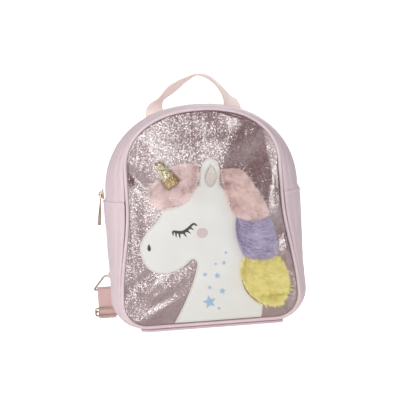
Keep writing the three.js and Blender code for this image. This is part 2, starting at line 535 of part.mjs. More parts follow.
// The plush is trimmed back around the head and the horn by this clearance; a bit that this cuts off is dropped.
const clearance = body(drape(clearShape, LAID - GAP, LEATHER + 2 * GAP, 0.6)).add(body(loft(hornLoops(0.5))));
FUR.forEach(({ name, colour, root, tip, locks, height }) => {
  const line = (points) => new THREE.QuadraticBezierCurve(...points.map((p) => new THREE.Vector2(...p)));
  const [rootLine, tipLine] = [line(root), line(tip)];
  const between = (t, place) => rootLine.getPoint(t).lerp(tipLine.getPoint(t), place);
  const grid = (lifts) => steps(6).map((t) => [0, 0.3, 0.6, 0.82].map((place, k) => {
    const { x, y } = between(0.03 + 0.94 * t, place);
    return onFront(x, y, lifts[k]);
  }));
  const backing = wall(grid([0.45, 0.65, 0.6, 0.35].map((share) => share * height)), grid(Array(4).fill(LAID)));
  const tufts = steps(locks - 1).map((_, i) => {
    const t = (i + 0.5) / locks;
    const spacing = rootLine.getLength() / locks * 0.35 + tipLine.getLength() / locks * 0.35;
    const reach = i % 2 ? 0.93 : 1;
    return loft(LOCK.map(({ place, lift, wide, deep }) => {
      const { x, y } = between(t, place * reach);
      const way = between(t, 1).sub(between(t, 0)).normalize();
      const middle = onFront(x, y, lift * height + (i % 3) * 0.5);
      return round(1, 6).map(([a, b]) => middle.clone()
        .add(vec(-way.y * a * spacing * wide, b * deep * height * 0.32, way.x * a * spacing * wide)));
    }));
  });
  const plush = tufts.reduce((sum, tuft) => sum.add(body(tuft)), body(backing)).subtract(clearance);
  const [largest] = plush.decompose().sort((a, b) => b.volume() - a.volume());
  add(name, meshOf(largest), colour, 0.95);
});

export default group;
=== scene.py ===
# A child's small backpack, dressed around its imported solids: a leatherette shell with an arched zip, webbing
# straps on wire fittings, and a glitter front that carries a unicorn's head with a plush mane.
# Metres, +Z up, front towards -Y.
import math

import bpy
import numpy as np
from mathutils import Matrix, Vector, noise


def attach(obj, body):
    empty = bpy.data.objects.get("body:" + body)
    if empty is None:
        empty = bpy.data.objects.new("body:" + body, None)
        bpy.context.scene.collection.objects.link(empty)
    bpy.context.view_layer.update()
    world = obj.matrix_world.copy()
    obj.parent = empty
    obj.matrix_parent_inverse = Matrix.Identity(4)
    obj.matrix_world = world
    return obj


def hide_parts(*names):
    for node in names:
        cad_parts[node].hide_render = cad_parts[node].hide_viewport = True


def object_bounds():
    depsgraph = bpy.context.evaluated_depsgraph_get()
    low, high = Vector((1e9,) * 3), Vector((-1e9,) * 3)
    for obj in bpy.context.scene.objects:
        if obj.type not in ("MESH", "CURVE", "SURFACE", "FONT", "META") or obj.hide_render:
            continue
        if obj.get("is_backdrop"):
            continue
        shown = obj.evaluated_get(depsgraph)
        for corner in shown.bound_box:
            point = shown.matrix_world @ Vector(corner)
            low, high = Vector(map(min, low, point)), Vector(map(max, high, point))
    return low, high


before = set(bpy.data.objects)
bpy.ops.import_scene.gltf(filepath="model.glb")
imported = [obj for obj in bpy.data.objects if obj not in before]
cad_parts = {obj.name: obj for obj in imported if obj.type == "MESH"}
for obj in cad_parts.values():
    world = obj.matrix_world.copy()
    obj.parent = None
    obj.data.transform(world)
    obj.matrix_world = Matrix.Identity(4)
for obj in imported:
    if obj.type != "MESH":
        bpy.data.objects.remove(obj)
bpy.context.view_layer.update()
bpy.ops.object.select_all(action="DESELECT")

# Studio: a seamless pale sweep, lit by a large soft light in front on the left, weaker ones on both sides,
# above and behind, and a dim room. The camera is low in front and a little to the left, and leans so that the
# bag's top goes to the left in the picture.
AIM = Vector((0, 0, 0.125))
TURN, RAISE, LEAN = math.radians(-3.6), math.radians(4.6), math.radians(3.8)
DISTANCE, VIEW_WIDTH, OFF_CENTRE, SENSOR = 2.5, 0.4545, (-0.0036, 0.0158), 36
SWEEP_SIZE, SWEEP_BEND = 8, 2
# Lights: name, place, width, height as a share of the width, and watts.
LIGHTS = [("key", (-0.95, -3.4, 0.9), 1.2, 1.7, 50), ("left", (-1.6, -0.7, 0.7), 0.6, 1, 8),
          ("right", (1.6, -0.8, 0.8), 0.5, 1, 5), ("over", (0.1, 0.3, 1.9), 1.2, 1, 11),
          ("rear", (0.5, 2.4, 1.1), 1.4, 1, 8)]


def start(add, name, **settings):
    """A new mesh on its own, made by one of the add operators."""
    bpy.ops.object.select_all(action="DESELECT")
    add(**settings)
    piece = bpy.context.object
    piece.name = piece.data.name = name
    return piece


def select(piece, kind, test):
    """Leaves the piece in edit mode, with points, edges or faces selected whose middle passes a test."""
    bpy.context.view_layer.objects.active = piece
    bpy.ops.object.mode_set(mode="EDIT")
    bpy.ops.mesh.select_mode(type=kind)
    bpy.ops.mesh.select_all(action="DESELECT")
    bpy.ops.object.mode_set(mode="OBJECT")
    mesh = piece.data
    for item in {"VERT": mesh.vertices, "EDGE": mesh.edges, "FACE": mesh.polygons}[kind]:
        corners = [item] if kind == "VERT" else [mesh.vertices[i] for i in item.vertices]
        item.select = bool(test(sum((corner.co for corner in corners), Vector()) / len(corners)))
    bpy.ops.object.mode_set(mode="EDIT")


def node(tree, kind, inputs=None, **settings):
    """Adds a shader node with its settings, and sets or links its inputs."""
    made = tree.nodes.new("ShaderNode" + kind)
    for name, value in settings.items():
        setattr(made, name, value)
    for socket, value in (inputs or {}).items():
        if isinstance(value, bpy.types.NodeSocket):
            tree.links.new(value, made.inputs[socket])
        else:
            made.inputs[socket].default_value = value
    return made


def new_finish(name, **sockets):
    """A material with one Principled shader, whose sockets are set or left to be linked."""
    material = bpy.data.materials.new(name)
    material.use_nodes = True
    shader = material.node_tree.nodes["Principled BSDF"]
    for socket, value in sockets.items():
        shader.inputs[socket.replace("_", " ")].default_value = value
    return material, material.node_tree


def wire(tree, **sockets):
    """Links what a material's tree works out to the sockets of its shader."""
    shader = tree.nodes["Principled BSDF"]
    for socket, value in sockets.items():
        tree.links.new(value, shader.inputs[socket.replace("_", " ")])


def blend(tree, share, first, second):
    """The colour between two, at a share that changes over the surface."""
    return node(tree, "Mix", {0: share, 6: first, 7: second}, data_type="RGBA").outputs[2]


def paint(red, green, blue):
    """A colour as a paint chart gives it, from 0 to 255, as the shader's own linear colour."""
    chart = [value / 255 for value in (red, green, blue)]
    return (*(c / 12.92 if c <= 0.04045 else ((c + 0.055) / 1.055) ** 2.4 for c in chart), 1)


back = Vector((math.sin(TURN) * math.cos(RAISE), -math.cos(TURN) * math.cos(RAISE), math.sin(RAISE)))
stance = (-back).to_track_quat("-Z", "Y").to_matrix() @ Matrix.Rotation(-LEAN, 3, "Z")
bpy.ops.object.camera_add(
    location=AIM + back * DISTANCE + stance.col[0] * OFF_CENTRE[0] + stance.col[1] * OFF_CENTRE[1],
    rotation=stance.to_euler())
camera = bpy.context.object
camera.data.sensor_width = SENSOR
camera.data.lens = SENSOR * DISTANCE / VIEW_WIDTH
camera.data.clip_end = 50
bpy.context.scene.camera = camera
bpy.context.scene.view_settings.view_transform = "Standard"

floor = start(bpy.ops.mesh.primitive_plane_add, "floor", size=SWEEP_SIZE)
select(floor, "EDGE", lambda p: p.y > SWEEP_SIZE / 2 - 0.1)
bpy.ops.mesh.extrude_region_move(TRANSFORM_OT_translate={"value": (0, 0, SWEEP_SIZE / 2)})
select(floor, "EDGE", lambda p: p.y > SWEEP_SIZE / 2 - 0.1 and p.z < 0.1)
bpy.ops.mesh.bevel(offset=SWEEP_BEND, segments=16, affect="EDGES")
bpy.ops.object.mode_set(mode="OBJECT")
bpy.ops.object.shade_smooth()
sweep, sweep_tree = new_finish("pale_sweep", Base_Color=paint(246, 246, 246), Roughness=0.9,
                               Emission_Strength=0.8)
seen = node(sweep_tree, "LightPath").outputs["Is Camera Ray"]
wire(sweep_tree, Emission_Color=blend(sweep_tree, seen, (0.3, 0.3, 0.3, 1), (1, 1, 1, 1)))
floor.data.materials.append(sweep)
floor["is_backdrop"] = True

for name, place, wide, tall, watts in LIGHTS:
    bpy.ops.object.light_add(type="AREA", location=place)
    light = bpy.context.object
    light.name, light.data.size, light.data.energy = name, wide, watts
    light.data.shape, light.data.size_y = "RECTANGLE", wide * tall
    light.rotation_euler = (AIM - Vector(place)).to_track_quat("-Z", "Y").to_euler()
world = bpy.data.worlds.new("room")
world.use_nodes = True
world.node_tree.nodes["Background"].inputs["Color"].default_value = (0.12, 0.12, 0.123, 1)
bpy.context.scene.world = world

# Shell strips: pink leatherette on a cloth backing, cut as strips that make the bag's depth. The front and
# back strips run over the arch beside the zip; the doubled lower wall goes down both sides and under, and
# laps the zip's ends.
MM = 0.001
# Outline of the stuffed shell from front to back: depth, half widths (low, at the zip's end, at the arch's
# spring), heights (spring, top, bottom) and the radius of the lower corners.
SECTIONS = np.array([[-45, 99, 86.5, 86.5, 182, 246, 6, 27], [-32, 106, 101.5, 99.5, 166, 249, 4.8, 30],
                     [-4, 109.7, 110.5, 109, 153, 250, 4.4, 33], [26, 108, 108, 106, 155, 248.5, 4.6, 31],
                     [43, 101, 101, 98.5, 161, 244, 5.6, 28]])
FRONT_DEPTH, BACK_DEPTH = SECTIONS[0, 0], SECTIONS[-1, 0]
ZIP_END, ARCH_POWER = 148, 2.2
# Once round the outline is 48 columns; these are where the bottom, corner, side and shoulder of the right
# half end, and where the left side begins.
ROUND, FLAT_TO, CORNER_TO, SIDE_TO, SHOULDER_TO = 48, 2, 7, 11, 13
LEFT_SIDE = ROUND - SIDE_TO
GAP, SHELL, LOWER_SHELL, LOWER_PROUD, PIPING = 0.3, 1.8, 2.6, 0.9, 2.0
FRONT_EDGE, BACK_EDGE = FRONT_DEPTH + PIPING + GAP, BACK_DEPTH - GAP
ZIP_DEPTH, ZIP_HALF = 8, 8
# Columns that the upper strips and the lower wall span.
UPPER, LOWER = (SIDE_TO + 0.006, LEFT_SIDE - 0.006), (LEFT_SIDE + 0.003, ROUND + SIDE_TO - 0.003)
# Folds of the lower wall, where it is more than SIDE_FROM from the middle: side, middle height and depth,
# half height, half width, lean to the back, and depth of fold.
SIDE_FROM = 60
WALL_FOLDS = [(1, 112, -17, 34, 8.5, 0.16, 2.8), (1, 60, -8, 22, 7, 0.2, 1.4),
              (-1, 122, -14, 14, 9, 0.3, 1.0)]


def measures(depth):
    """The shell's measures at each depth, on smooth curves through the rows of SECTIONS."""
    last = len(SECTIONS) - 1
    i = np.clip(np.searchsorted(SECTIONS[:, 0], depth) - 1, 0, last - 1)
    near, far = SECTIONS[i], SECTIONS[i + 1]
    span = far[:, :1] - near[:, :1]
    t = (depth[:, None] - near[:, :1]) / span

    def slope(k):
        before, after = SECTIONS[np.maximum(k - 1, 0)], SECTIONS[np.minimum(k + 1, last)]
        return span * (after - before) / (after[:, :1] - before[:, :1])

    curve = (1 + 2 * t) * (1 - t) ** 2 * near + t * (1 - t) ** 2 * slope(i)
    return (curve + t ** 2 * (3 - 2 * t) * far + t ** 2 * (t - 1) * slope(i + 1)).T[1:]


def outline(column, depth):
    """Points x, z of the shell's outline, from the middle of the bottom up the right side and round."""
    base, waist, arch, spring, top, bottom, corner = measures(depth)
    column = np.mod(column, ROUND)
    half = np.minimum(column, ROUND - column)
    foot = bottom + corner
    bend = np.clip((half - FLAT_TO) / (CORNER_TO - FLAT_TO), 0, 1) * np.pi / 2
    side = np.clip((half - CORNER_TO) / (SIDE_TO - CORNER_TO), 0, 1)
    shoulder = np.clip((half - SIDE_TO) / (SHOULDER_TO - SIDE_TO), 0, 1)
    turn = np.clip((half - SHOULDER_TO) / (ROUND / 2 - SHOULDER_TO), 0, 1) * np.pi / 2
    stretch = [half < FLAT_TO, half < CORNER_TO, half < SIDE_TO, half < SHOULDER_TO]
    x = np.select(stretch, [
        (base - corner) * half / FLAT_TO, base - corner + corner * np.sin(bend),
        base + (waist - base) * (1 - np.cos(np.pi * side)) / 2,
        waist + (arch - waist) * (1 - np.cos(np.pi * shoulder)) / 2],
        arch * np.cos(turn).clip(0) ** (2 / ARCH_POWER))
    z = np.select(stretch, [
        bottom, foot - corner * np.cos(bend), foot + (ZIP_END - foot) * side,
        ZIP_END + (spring - ZIP_END) * shoulder], spring + (top - spring) * np.sin(turn) ** (2 / ARCH_POWER))
    return np.where(column > ROUND / 2, -x, x), z


def unit(vectors):
    return vectors / np.maximum(np.linalg.norm(vectors, axis=1), 1e-9)[:, None]


def skin(column, depth, lift):
    """Points of the shell's surface lifted along its normal, and the normals."""
    column, depth = np.broadcast_arrays(np.asarray(column, float), np.asarray(depth, float))

    def at(c, d):
        x, z = outline(c, d)
        return np.stack([x, d, z], 1)

    along = at(column + 0.3, depth) - at(column - 0.3, depth)
    normal = unit(np.cross(at(column, depth + 0.5) - at(column, depth - 0.5), along))
    return at(column, depth) + normal * np.reshape(lift, (-1, 1)), normal


def waves(points, size, seed):
    """Smooth unevenness from -1 to 1, about size millimetres long, at each point."""
    shift = Vector((seed * 17.3, seed * 5.1, seed * 9.7))
    return np.array([noise.noise(Vector(p) / size + shift) for p in points])


def only(piece):
    bpy.ops.object.select_all(action="DESELECT")
    piece.select_set(True)
    bpy.context.view_layer.objects.active = piece


def points_of(piece):
    flat = np.empty(len(piece.data.vertices) * 3, np.float32)
    piece.data.vertices.foreach_get("co", flat)
    return flat.reshape(-1, 3).astype(float)


def put_points(piece, points):
    piece.data.vertices.foreach_set("co", np.asarray(points, np.float32).ravel())
    piece.data.update()


def cloth(name, columns, rows, place):
    """A grid of cloth whose points are put where place says, in millimetres, from their shares across and
    along it."""
    piece = start(bpy.ops.mesh.primitive_grid_add, name, x_subdivisions=columns, y_subdivisions=rows, size=1)
    shares = points_of(piece) + 0.5
    put_points(piece, place(shares[:, 0], shares[:, 1]) * MM)
    return piece


def modify(piece, kind, **settings):
    """Adds a modifier and applies it."""
    only(piece)
    modifier = piece.modifiers.new(kind, kind)
    for name, value in settings.items():
        setattr(modifier, name, value)
    bpy.ops.object.modifier_apply(modifier=modifier.name)


def round_edges(piece, width, segments=2, angle=30):
    """Rounds the edges that turn by more than an angle in degrees."""
    modify(piece, "BEVEL", width=width * MM, segments=segments, limit_method="ANGLE",
           angle_limit=math.radians(angle))


def thicken(piece, thickness, edge=0.0, even=True):
    """Gives cloth its thickness behind its face, and rounds its cut edges."""
    modify(piece, "SOLIDIFY", thickness=thickness * MM, offset=-1, use_even_offset=even)
    if edge:
        round_edges(piece, edge, angle=50)


def fit(piece, material, slot, *nodes, body="bag"):
    """Gives a finished piece its material, its body and the solids that it stands for. The slot is not used.
    """
    piece.data.materials.clear()
    piece.data.materials.append(material)
    only(piece)
    bpy.ops.object.shade_smooth_by_angle(angle=math.radians(38))
    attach(piece, body)
    if nodes:
        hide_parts(*nodes)


def new_group(name, inputs, outputs):
    """A shader node group with named sockets: its tree, its input sockets and its output node."""
    tree = bpy.data.node_groups.new(name, "ShaderNodeTree")
    for way, sockets in (("INPUT", inputs), ("OUTPUT", outputs)):
        for label, kind in sockets.items():
            tree.interface.new_socket(name=label, in_out=way, socket_type="NodeSocket" + kind)
    return tree, tree.nodes.new("NodeGroupInput").outputs, tree.nodes.new("NodeGroupOutput")


def maths(tree, operation, *values, kind="Math"):
    """One step of arithmetic on numbers, or on vectors."""
    return node(tree, kind, dict(enumerate(values)), operation=operation).outputs[0]


def in_cells(tree, place, size):
    """A place counted in cells of a size."""
    many = maths(tree, "DIVIDE", 1.0, size)
    return node(tree, "VectorMath", {0: place, "Scale": many}, operation="SCALE").outputs[0]


def place_in(tree):
    return node(tree, "TexCoord").outputs["Object"]


def relief(tree, height, strength):
    """The normal of a surface with a fine relief."""
    return node(tree, "Bump", {"Height": height, "Strength": strength, "Distance": 0.0004}).outputs[0]


# Grain: rounded pebbles of pressed leatherette, with a slow mottle over the hide.
grain, given, result = new_group("leather_grain", {"Vector": "Vector", "Pebble": "Float"},
                                 {"Height": "Float", "Mottle": "Float"})
cells = in_cells(grain, given["Vector"], given["Pebble"])
pebbles = node(grain, "TexVoronoi", {"Vector": cells, "Scale": 1.0, "Smoothness": 0.6}, feature="SMOOTH_F1")
fine = node(grain, "TexNoise", {"Vector": cells, "Scale": 2.2, "Detail": 3.0})
slow = node(grain, "TexNoise", {"Vector": given["Vector"], "Scale": 38.0, "Detail": 2.0})
height = maths(grain, "ADD", pebbles.outputs["Distance"], fine.outputs[0])
grain.links.new(height, result.inputs["Height"])
grain.links.new(slow.outputs[0], result.inputs["Mottle"])


def leather(name, light, deep, pebble, depth, roughness):
    """A leatherette: two tones of a colour over its mottle, with pressed grain."""
    material, tree = new_finish(name, Roughness=roughness, Specular_IOR_Level=0.4)
    hide = node(tree, "Group", {"Vector": place_in(tree), "Pebble": pebble}, node_tree=grain).outputs
    wire(tree, Base_Color=blend(tree, hide["Mottle"], light, deep),
         Normal=relief(tree, hide["Height"], depth))
    return material


def hump(off, half):
    """A smooth rise that is 1 where off is zero and dies away over half."""
    return np.exp(-(off / half) ** 2)


def leather_strip(name, columns, depths, lift, thickness, across, along, seed, edge=0.5):
    """A strip of the shell: its edges roll into the seams, and the leatherette is a little uneven."""
    def place(u, v):
        depth = depths[0] + (depths[1] - depths[0]) * u
        column = columns[0] + (columns[1] - columns[0]) * v
        front, back = depth - depths[0], depths[1] - depth
        end = np.minimum(column - columns[0], columns[1] - column)
        inner = np.minimum(front, back)
        fold = edge * (0.95 * hump(end, 0.1) - 0.5 * hump(end - 0.17, 0.06)) - 0.9 * hump(back, 1.7)
        welt = (0.9 * hump(front - 2.6, 2.4) - 0.7 * hump(front - 7.2, 1.5)) * (depths[0] < FRONT_EDGE)
        points, normals = skin(column, depth, lift + fold + welt)
        slack = 0.75 * waves(points, 38, seed) + 0.28 * waves(points, 13, seed + 1)
        for side, height, deep, tall, wide, lean, amount in WALL_FOLDS:
            off = depth - deep - lean * (height - points[:, 2])
            sunk = amount * hump(points[:, 2] - height, tall) * hump(off, wide)
            slack -= sunk * (side * points[:, 0] > SIDE_FROM) * (lift > 0)
        slack *= np.clip(inner / 7, 0, 1) * np.clip(end / 0.3, 0, 1)
        pucker = 0.24 * np.exp(-inner / 5) * waves(points, 4.5, seed + 2)
        at_end = 0.35 * np.exp(-end / 0.35) * np.clip(inner / 6, 0, 1)
        pucker += at_end * waves(points * (1, 1, 0.3), 6, seed + 3)
        return points + normals * (slack + pucker)[:, None]

    piece = cloth(name, across, along, place)
    thicken(piece, thickness, edge)
    return piece


pink_leather = leather("pink_leatherette", paint(233, 214, 219), paint(222, 200, 206), pebble=0.0011,
                       depth=0.25, roughness=0.42)
front_strip = leather_strip("front_strip", UPPER, (FRONT_EDGE - 0.2, ZIP_DEPTH - ZIP_HALF - GAP), lift=0,
                            thickness=SHELL, across=30, along=280, seed=1)
fit(front_strip, pink_leather, "leatherette", "gusset_front")
back_strip = leather_strip("back_strip", UPPER, (ZIP_DEPTH + ZIP_HALF + GAP, BACK_EDGE), lift=0,
                           thickness=SHELL, across=18, along=280, seed=4)
fit(back_strip, pink_leather, "leatherette", "gusset_back")
lower_wall = leather_strip("lower_wall", LOWER, (FRONT_EDGE - 0.2, BACK_EDGE), lift=LOWER_PROUD,
                           thickness=LOWER_SHELL, across=48, along=320, seed=7, edge=0.8)
fit(lower_wall, pink_leather, "leatherette", "gusset_lower")

# Zip: a woven tape with a moulded coil of two interlocking rows of teeth, sewn between the two upper strips.
# Each tooth is a small rounded bar, modelled once and laid along the tape.
TAPE_LIFT, TAPE_THICK = -1.3, 1.0
TOOTH, TOOTH_PITCH, TOOTH_LIFT, TOOTH_ASIDE = (3.4, 0.95, 1.2), 1.7, 0.7, 0.75


def map_in(tree):
    """The parts of a piece's own map: across it, and along it."""
    return node(tree, "SeparateXYZ", {0: node(tree, "TexCoord").outputs["UV"]}).outputs


def ranged(tree, value, *ends, **settings):
    """A number carried from between its first two ends to between the next two, or 0 and 1."""
    return node(tree, "MapRange", {0: value, **dict(enumerate(ends, 1))}, **settings).outputs[0]


def weave(name, light, deep, across, along, depth, roughness, selvedge_and_edge_shade, glow=0.0):
    """Woven ribbon on its own map: ribs across and along at these counts, in two tones, and a darker border
    band that is partly its selvedge and partly painted shade on its edges. Thin ribbon is given a painted glow
    in its light tone, for the light that comes through it."""
    material, tree = new_finish(name, Roughness=roughness, Sheen_Weight=0.25, Specular_IOR_Level=0.25,
                                Emission_Color=light, Emission_Strength=glow)
    parts = map_in(tree)
    ribs = [maths(tree, "SINE", maths(tree, "MULTIPLY", part, count * math.tau))
            for part, count in ((parts[0], across), (parts[1], along))]
    thread = ranged(tree, maths(tree, "MULTIPLY", *ribs), -1.0, 1.0)
    fuzz = node(tree, "TexNoise", {"Vector": place_in(tree), "Scale": 900.0, "Detail": 2.0}).outputs[0]
    # Painted shade: the band along both edges of the map takes the darker selvedge_and_edge_shade tone.
    border = ranged(tree, maths(tree, "ABSOLUTE", maths(tree, "SUBTRACT", parts[0], 0.5)), 0.46, 0.495)
    woven = blend(tree, maths(tree, "MULTIPLY", thread, fuzz), deep, light)
    wire(tree, Base_Color=blend(tree, border, woven, selvedge_and_edge_shade), Normal=relief(tree, thread, depth))
    return material


def tape_place(u, v):
    column = SIDE_TO + 0.03 + (LEFT_SIDE - SIDE_TO - 0.06) * v
    return skin(column, ZIP_DEPTH + ZIP_HALF * (2 * u - 1), TAPE_LIFT)[0]


zip_tape = cloth("zip_tape_cloth", 16, 260, tape_place)
thicken(zip_tape, TAPE_THICK, 0.3)
tape_weave = weave("zip_tape_weave", paint(214, 188, 192), paint(176, 146, 152), across=12, along=460,
                   depth=0.5, roughness=0.75, selvedge_and_edge_shade=paint(176, 146, 152))
fit(zip_tape, tape_weave, "zip_cloth", "zip_tape")


def along_line(points, pitch):
    """Even places along a line of points: the places, and the row of the line that each is at."""
    steps = np.linalg.norm(np.diff(points, axis=0), axis=1)
    length = np.concatenate([[0], np.cumsum(steps)])
    count = max(1, int(length[-1] / pitch))
    row = np.interp((np.arange(count) + 0.5) * length[-1] / count, length, np.arange(len(points)))
    return np.stack([np.interp(row, np.arange(len(points)), points[:, k]) for k in range(3)], 1), row


def add_mesh(name, mesh):
    piece = bpy.data.objects.new(name, mesh)
    bpy.context.scene.collection.objects.link(piece)
    return piece


def lay_copies(name, model, places, along, up):
    """One mesh of copies of a model, each at its place with its length along and its top up."""
    along = unit(along)
    side = unit(np.cross(up, along))
    top = np.cross(along, side)
    shape = points_of(model) / MM
    points = places[:, None] + shape[None, :, :1] * along[:, None] + shape[None, :, 1:2] * side[:, None]
    points = (points + shape[None, :, 2:] * top[:, None]) * MM
    faces = [[k * len(shape) + i for i in face.vertices]
             for k in range(len(places)) for face in model.data.polygons]
    mesh = bpy.data.meshes.new(name)
    mesh.from_pydata(points.reshape(-1, 3).tolist(), [], faces)
    bpy.data.objects.remove(model)
    return add_mesh(name, mesh)


def block(name, size, place=(0, 0, 0), bevel=0.0, segments=2):
    """A block of a size in millimetres, with its edges rounded."""
    piece = start(bpy.ops.mesh.primitive_cube_add, name, size=1, location=[value * MM for value in place])
    piece.scale = [value * MM for value in size]
    bpy.ops.object.transform_apply(location=True, rotation=True, scale=True)
    if bevel:
        round_edges(piece, bevel, segments)
    return piece


def speckled(name, first, second, scale, roughness):
    """A plain finish in two tones of one colour, mixed by fine spots."""
    material, tree = new_finish(name, Roughness=roughness)
    spots = node(tree, "TexNoise", {"Vector": place_in(tree), "Scale": scale, "Detail": 2.0}).outputs[0]
    wire(tree, Base_Color=blend(tree, spots, first, second))
    return material


zip_line = np.linspace(SIDE_TO + 0.1, LEFT_SIDE - 0.1, 600)
zip_points, zip_normals = skin(zip_line, ZIP_DEPTH, TAPE_LIFT + TOOTH_LIFT)
tooth_places, tooth_rows = along_line(zip_points, TOOTH_PITCH / 2)
hand = np.where(np.arange(len(tooth_places)) % 2, 1.0, -1.0)[:, None] * np.array([0, 1.0, 0])
tooth = block("tooth", TOOTH, bevel=0.3, segments=1)
zip_teeth = lay_copies("zip_teeth", tooth, tooth_places + hand * TOOTH_ASIDE, hand,
                       zip_normals[tooth_rows.astype(int)])
zip_moulded = speckled("zip_moulded", paint(226, 198, 203), paint(205, 176, 182), scale=300.0, roughness=0.35)
fit(zip_teeth, zip_moulded, "zip_cloth")

# Zip slider: a cast rose-gold body that rides on the coil, with a round wire bail.
# The flat pull hangs from the bail and swings on it.
SLIDER_X, SLIDER_Z, SLIDER_PLATE, SLIDER_TAPER = -112.9, 155, (1.9, 8.4, 11), 0.78
BAIL_RADIUS, BAIL_WIRE, BAIL_END = 2.9, 0.75, math.radians(112)


def weld():
    bpy.ops.mesh.remove_doubles(threshold=1e-6)


def outward():
    bpy.ops.mesh.normals_make_consistent(inside=False)


def close_ends():
    bpy.ops.mesh.select_all(action="DESELECT")
    bpy.ops.mesh.select_non_manifold()
    bpy.ops.mesh.fill_holes(sides=0)


def edited(piece, *steps):
    """The piece after steps in edit mode, each taken with the whole mesh selected."""
    only(piece)
    bpy.ops.object.mode_set(mode="EDIT")
    for step in steps:
        bpy.ops.mesh.select_all(action="SELECT")
        step()
    bpy.ops.object.mode_set(mode="OBJECT")
    return piece


def tube(name, path, across, radius, closed, around=10):
    """Wire along a path of points: across is a direction that is never along it."""
    ahead = np.roll(path, -1, 0) - np.roll(path, 1, 0)
    if not closed:
        ahead[0], ahead[-1] = path[1] - path[0], path[-1] - path[-2]
    ahead = unit(ahead)
    wide = np.broadcast_to(np.asarray(across, float), path.shape)
    wide = unit(wide - ahead * np.sum(wide * ahead, 1)[:, None])
    through = np.cross(ahead, wide)
    spans = len(path) if closed else len(path) - 1

    def place(u, v):
        i = np.rint(v * spans).astype(int) % len(path)
        angle = u[:, None] * math.tau
        return path[i] + radius * (wide[i] * np.cos(angle) + through[i] * np.sin(angle))

    steps = (weld, outward) if closed else (weld, close_ends, outward)
    return edited(cloth(name, around, spans, place), *steps)


def join(name, *pieces):
    bpy.ops.object.select_all(action="DESELECT")
    for piece in pieces:
        piece.select_set(True)
    bpy.context.view_layer.objects.active = pieces[0]
    if len(pieces) > 1:
        bpy.ops.object.join()
    pieces[0].name = pieces[0].data.name = name
    return pieces[0]


rose, rose_tree = new_finish("rose_metal", Metallic=1.0)
rose_wear = node(rose_tree, "TexNoise", {"Vector": place_in(rose_tree), "Scale": 240.0, "Detail": 4.0})
worn = rose_wear.outputs[0]
wire(rose_tree, Base_Color=blend(rose_tree, worn, paint(206, 186, 166), paint(168, 146, 128)),
     Roughness=ranged(rose_tree, worn, 0.0, 1.0, 0.16, 0.34))

plate_x = SLIDER_X + SLIDER_PLATE[0] / 2
slider_plate = block("slider_plate", SLIDER_PLATE, (plate_x, ZIP_DEPTH, SLIDER_Z))
select(slider_plate, "VERT", lambda p: p.z < SLIDER_Z * MM)
bpy.ops.transform.resize(value=(1, SLIDER_TAPER, 1), center_override=(0, ZIP_DEPTH * MM, SLIDER_Z * MM))
select(slider_plate, "EDGE", lambda p: abs(p.x - plate_x * MM) < 1e-5)
bpy.ops.mesh.bevel(offset=2.3 * MM, segments=5, affect="EDGES")
bpy.ops.object.mode_set(mode="OBJECT")
round_edges(slider_plate, 0.4, segments=3)
bridge = block("slider_bridge", (1.0, 2.2, 7.4), (SLIDER_X - 0.2, ZIP_DEPTH, SLIDER_Z), bevel=0.4)
bail_turn = np.linspace(-BAIL_END, BAIL_END, 29)
bail_path = np.stack([SLIDER_X - 0.4 - BAIL_RADIUS * np.cos(bail_turn), np.full(29, float(ZIP_DEPTH)),
                      SLIDER_Z + BAIL_RADIUS * np.sin(bail_turn)], 1)
bail = tube("bail", bail_path, (0, 1, 0), BAIL_WIRE, False)
fit(join("zip_slider_body", slider_plate, bridge, bail), rose, "rose_metal", "zip_slider")
zip_pull = add_mesh("zip_pull_tag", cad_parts["zip_pull"].data.copy())
edited(zip_pull, weld, lambda: bpy.ops.mesh.dissolve_limited(angle_limit=math.radians(1)))
round_edges(zip_pull, 0.32, segments=3)
fit(zip_pull, rose, "rose_metal", "zip_pull", body="zip_pull")

# Piping: a cord wrapped in the same leatherette, caught in the seam around the glitter front.
# It follows the front edge of the shell all the way round.
rim_columns = np.linspace(0, ROUND, 480, endpoint=False)
piping = tube("piping_cord", skin(rim_columns, FRONT_DEPTH, 0)[0], (0, 1, 0), PIPING, True, 14)
piping_leather = leather("piping_leatherette", paint(236, 217, 222), paint(226, 204, 210), pebble=0.0009,
                         depth=0.2, roughness=0.4)
fit(piping, piping_leather, "piping", "front_piping")

# Front: glitter cloth on a backing, pushed out by stuffing and creased where the stuffing is slack.
# The cloth is covered with flakes of foil that lie at slightly different tilts.
FRONT_CLOTH, FRONT_BULGE, BULGE_POWER, PANEL_MIDDLE = 1.8, 13, 2.2, 122
# Creases: middle x and z, half length and width, turn from level in degrees, and depth (ridges below zero).
CREASES = [(-66, 168, 26, 9, -45, 2.6), (38, 210, 30, 17, 52, -3.6), (62, 188, 30, 18, 60, 2.2),
           (78, 150, 34, 7, 88, -1.6), (-62, 34, 34, 8, 30, 2.4), (-70, 48, 30, 6, 32, -1.4),
           (8, 222, 30, 9, 6, 1.8), (-41, 71, 20, 13, 45, 3.2), (12, 224, 18, 12, 90, -1.4)]
# Finer folds of the loose cloth beside what is sewn on it, in the same measures.
FOLDS = [(85, 142, 24, 8.6, 88, -8), (87, 84, 15, 7, 88, -6), (48, 236, 14, 16, 80, -4),
         (-74, 172, 20, 6, -50, 2.2), (54, 190, 26, 16, 48, 2.0), (75, 160, 26, 9, 85, 1.5),
         (-72, 62, 24, 5, 36, 2.0), (-60, 24, 26, 5, 30, -1.6), (-52, 44, 18, 5, 34, -1.5),
         (-78, 120, 20, 5, 85, 1.6)]


def inset_rim(depth, inset):
    """The shell's outline at a depth, drawn in all round."""
    x, _, z = skin(rim_columns, depth, 0)[0].T
    dx, dz = np.roll(x, -1) - np.roll(x, 1), np.roll(z, -1) - np.roll(z, 1)
    length = np.hypot(dx, dz)
    return np.stack([x - inset * dz / length, z + inset * dx / length], 1)


FRONT_RIM = inset_rim(FRONT_DEPTH, PIPING + GAP)
BACK_RIM = inset_rim(BACK_DEPTH, 0)


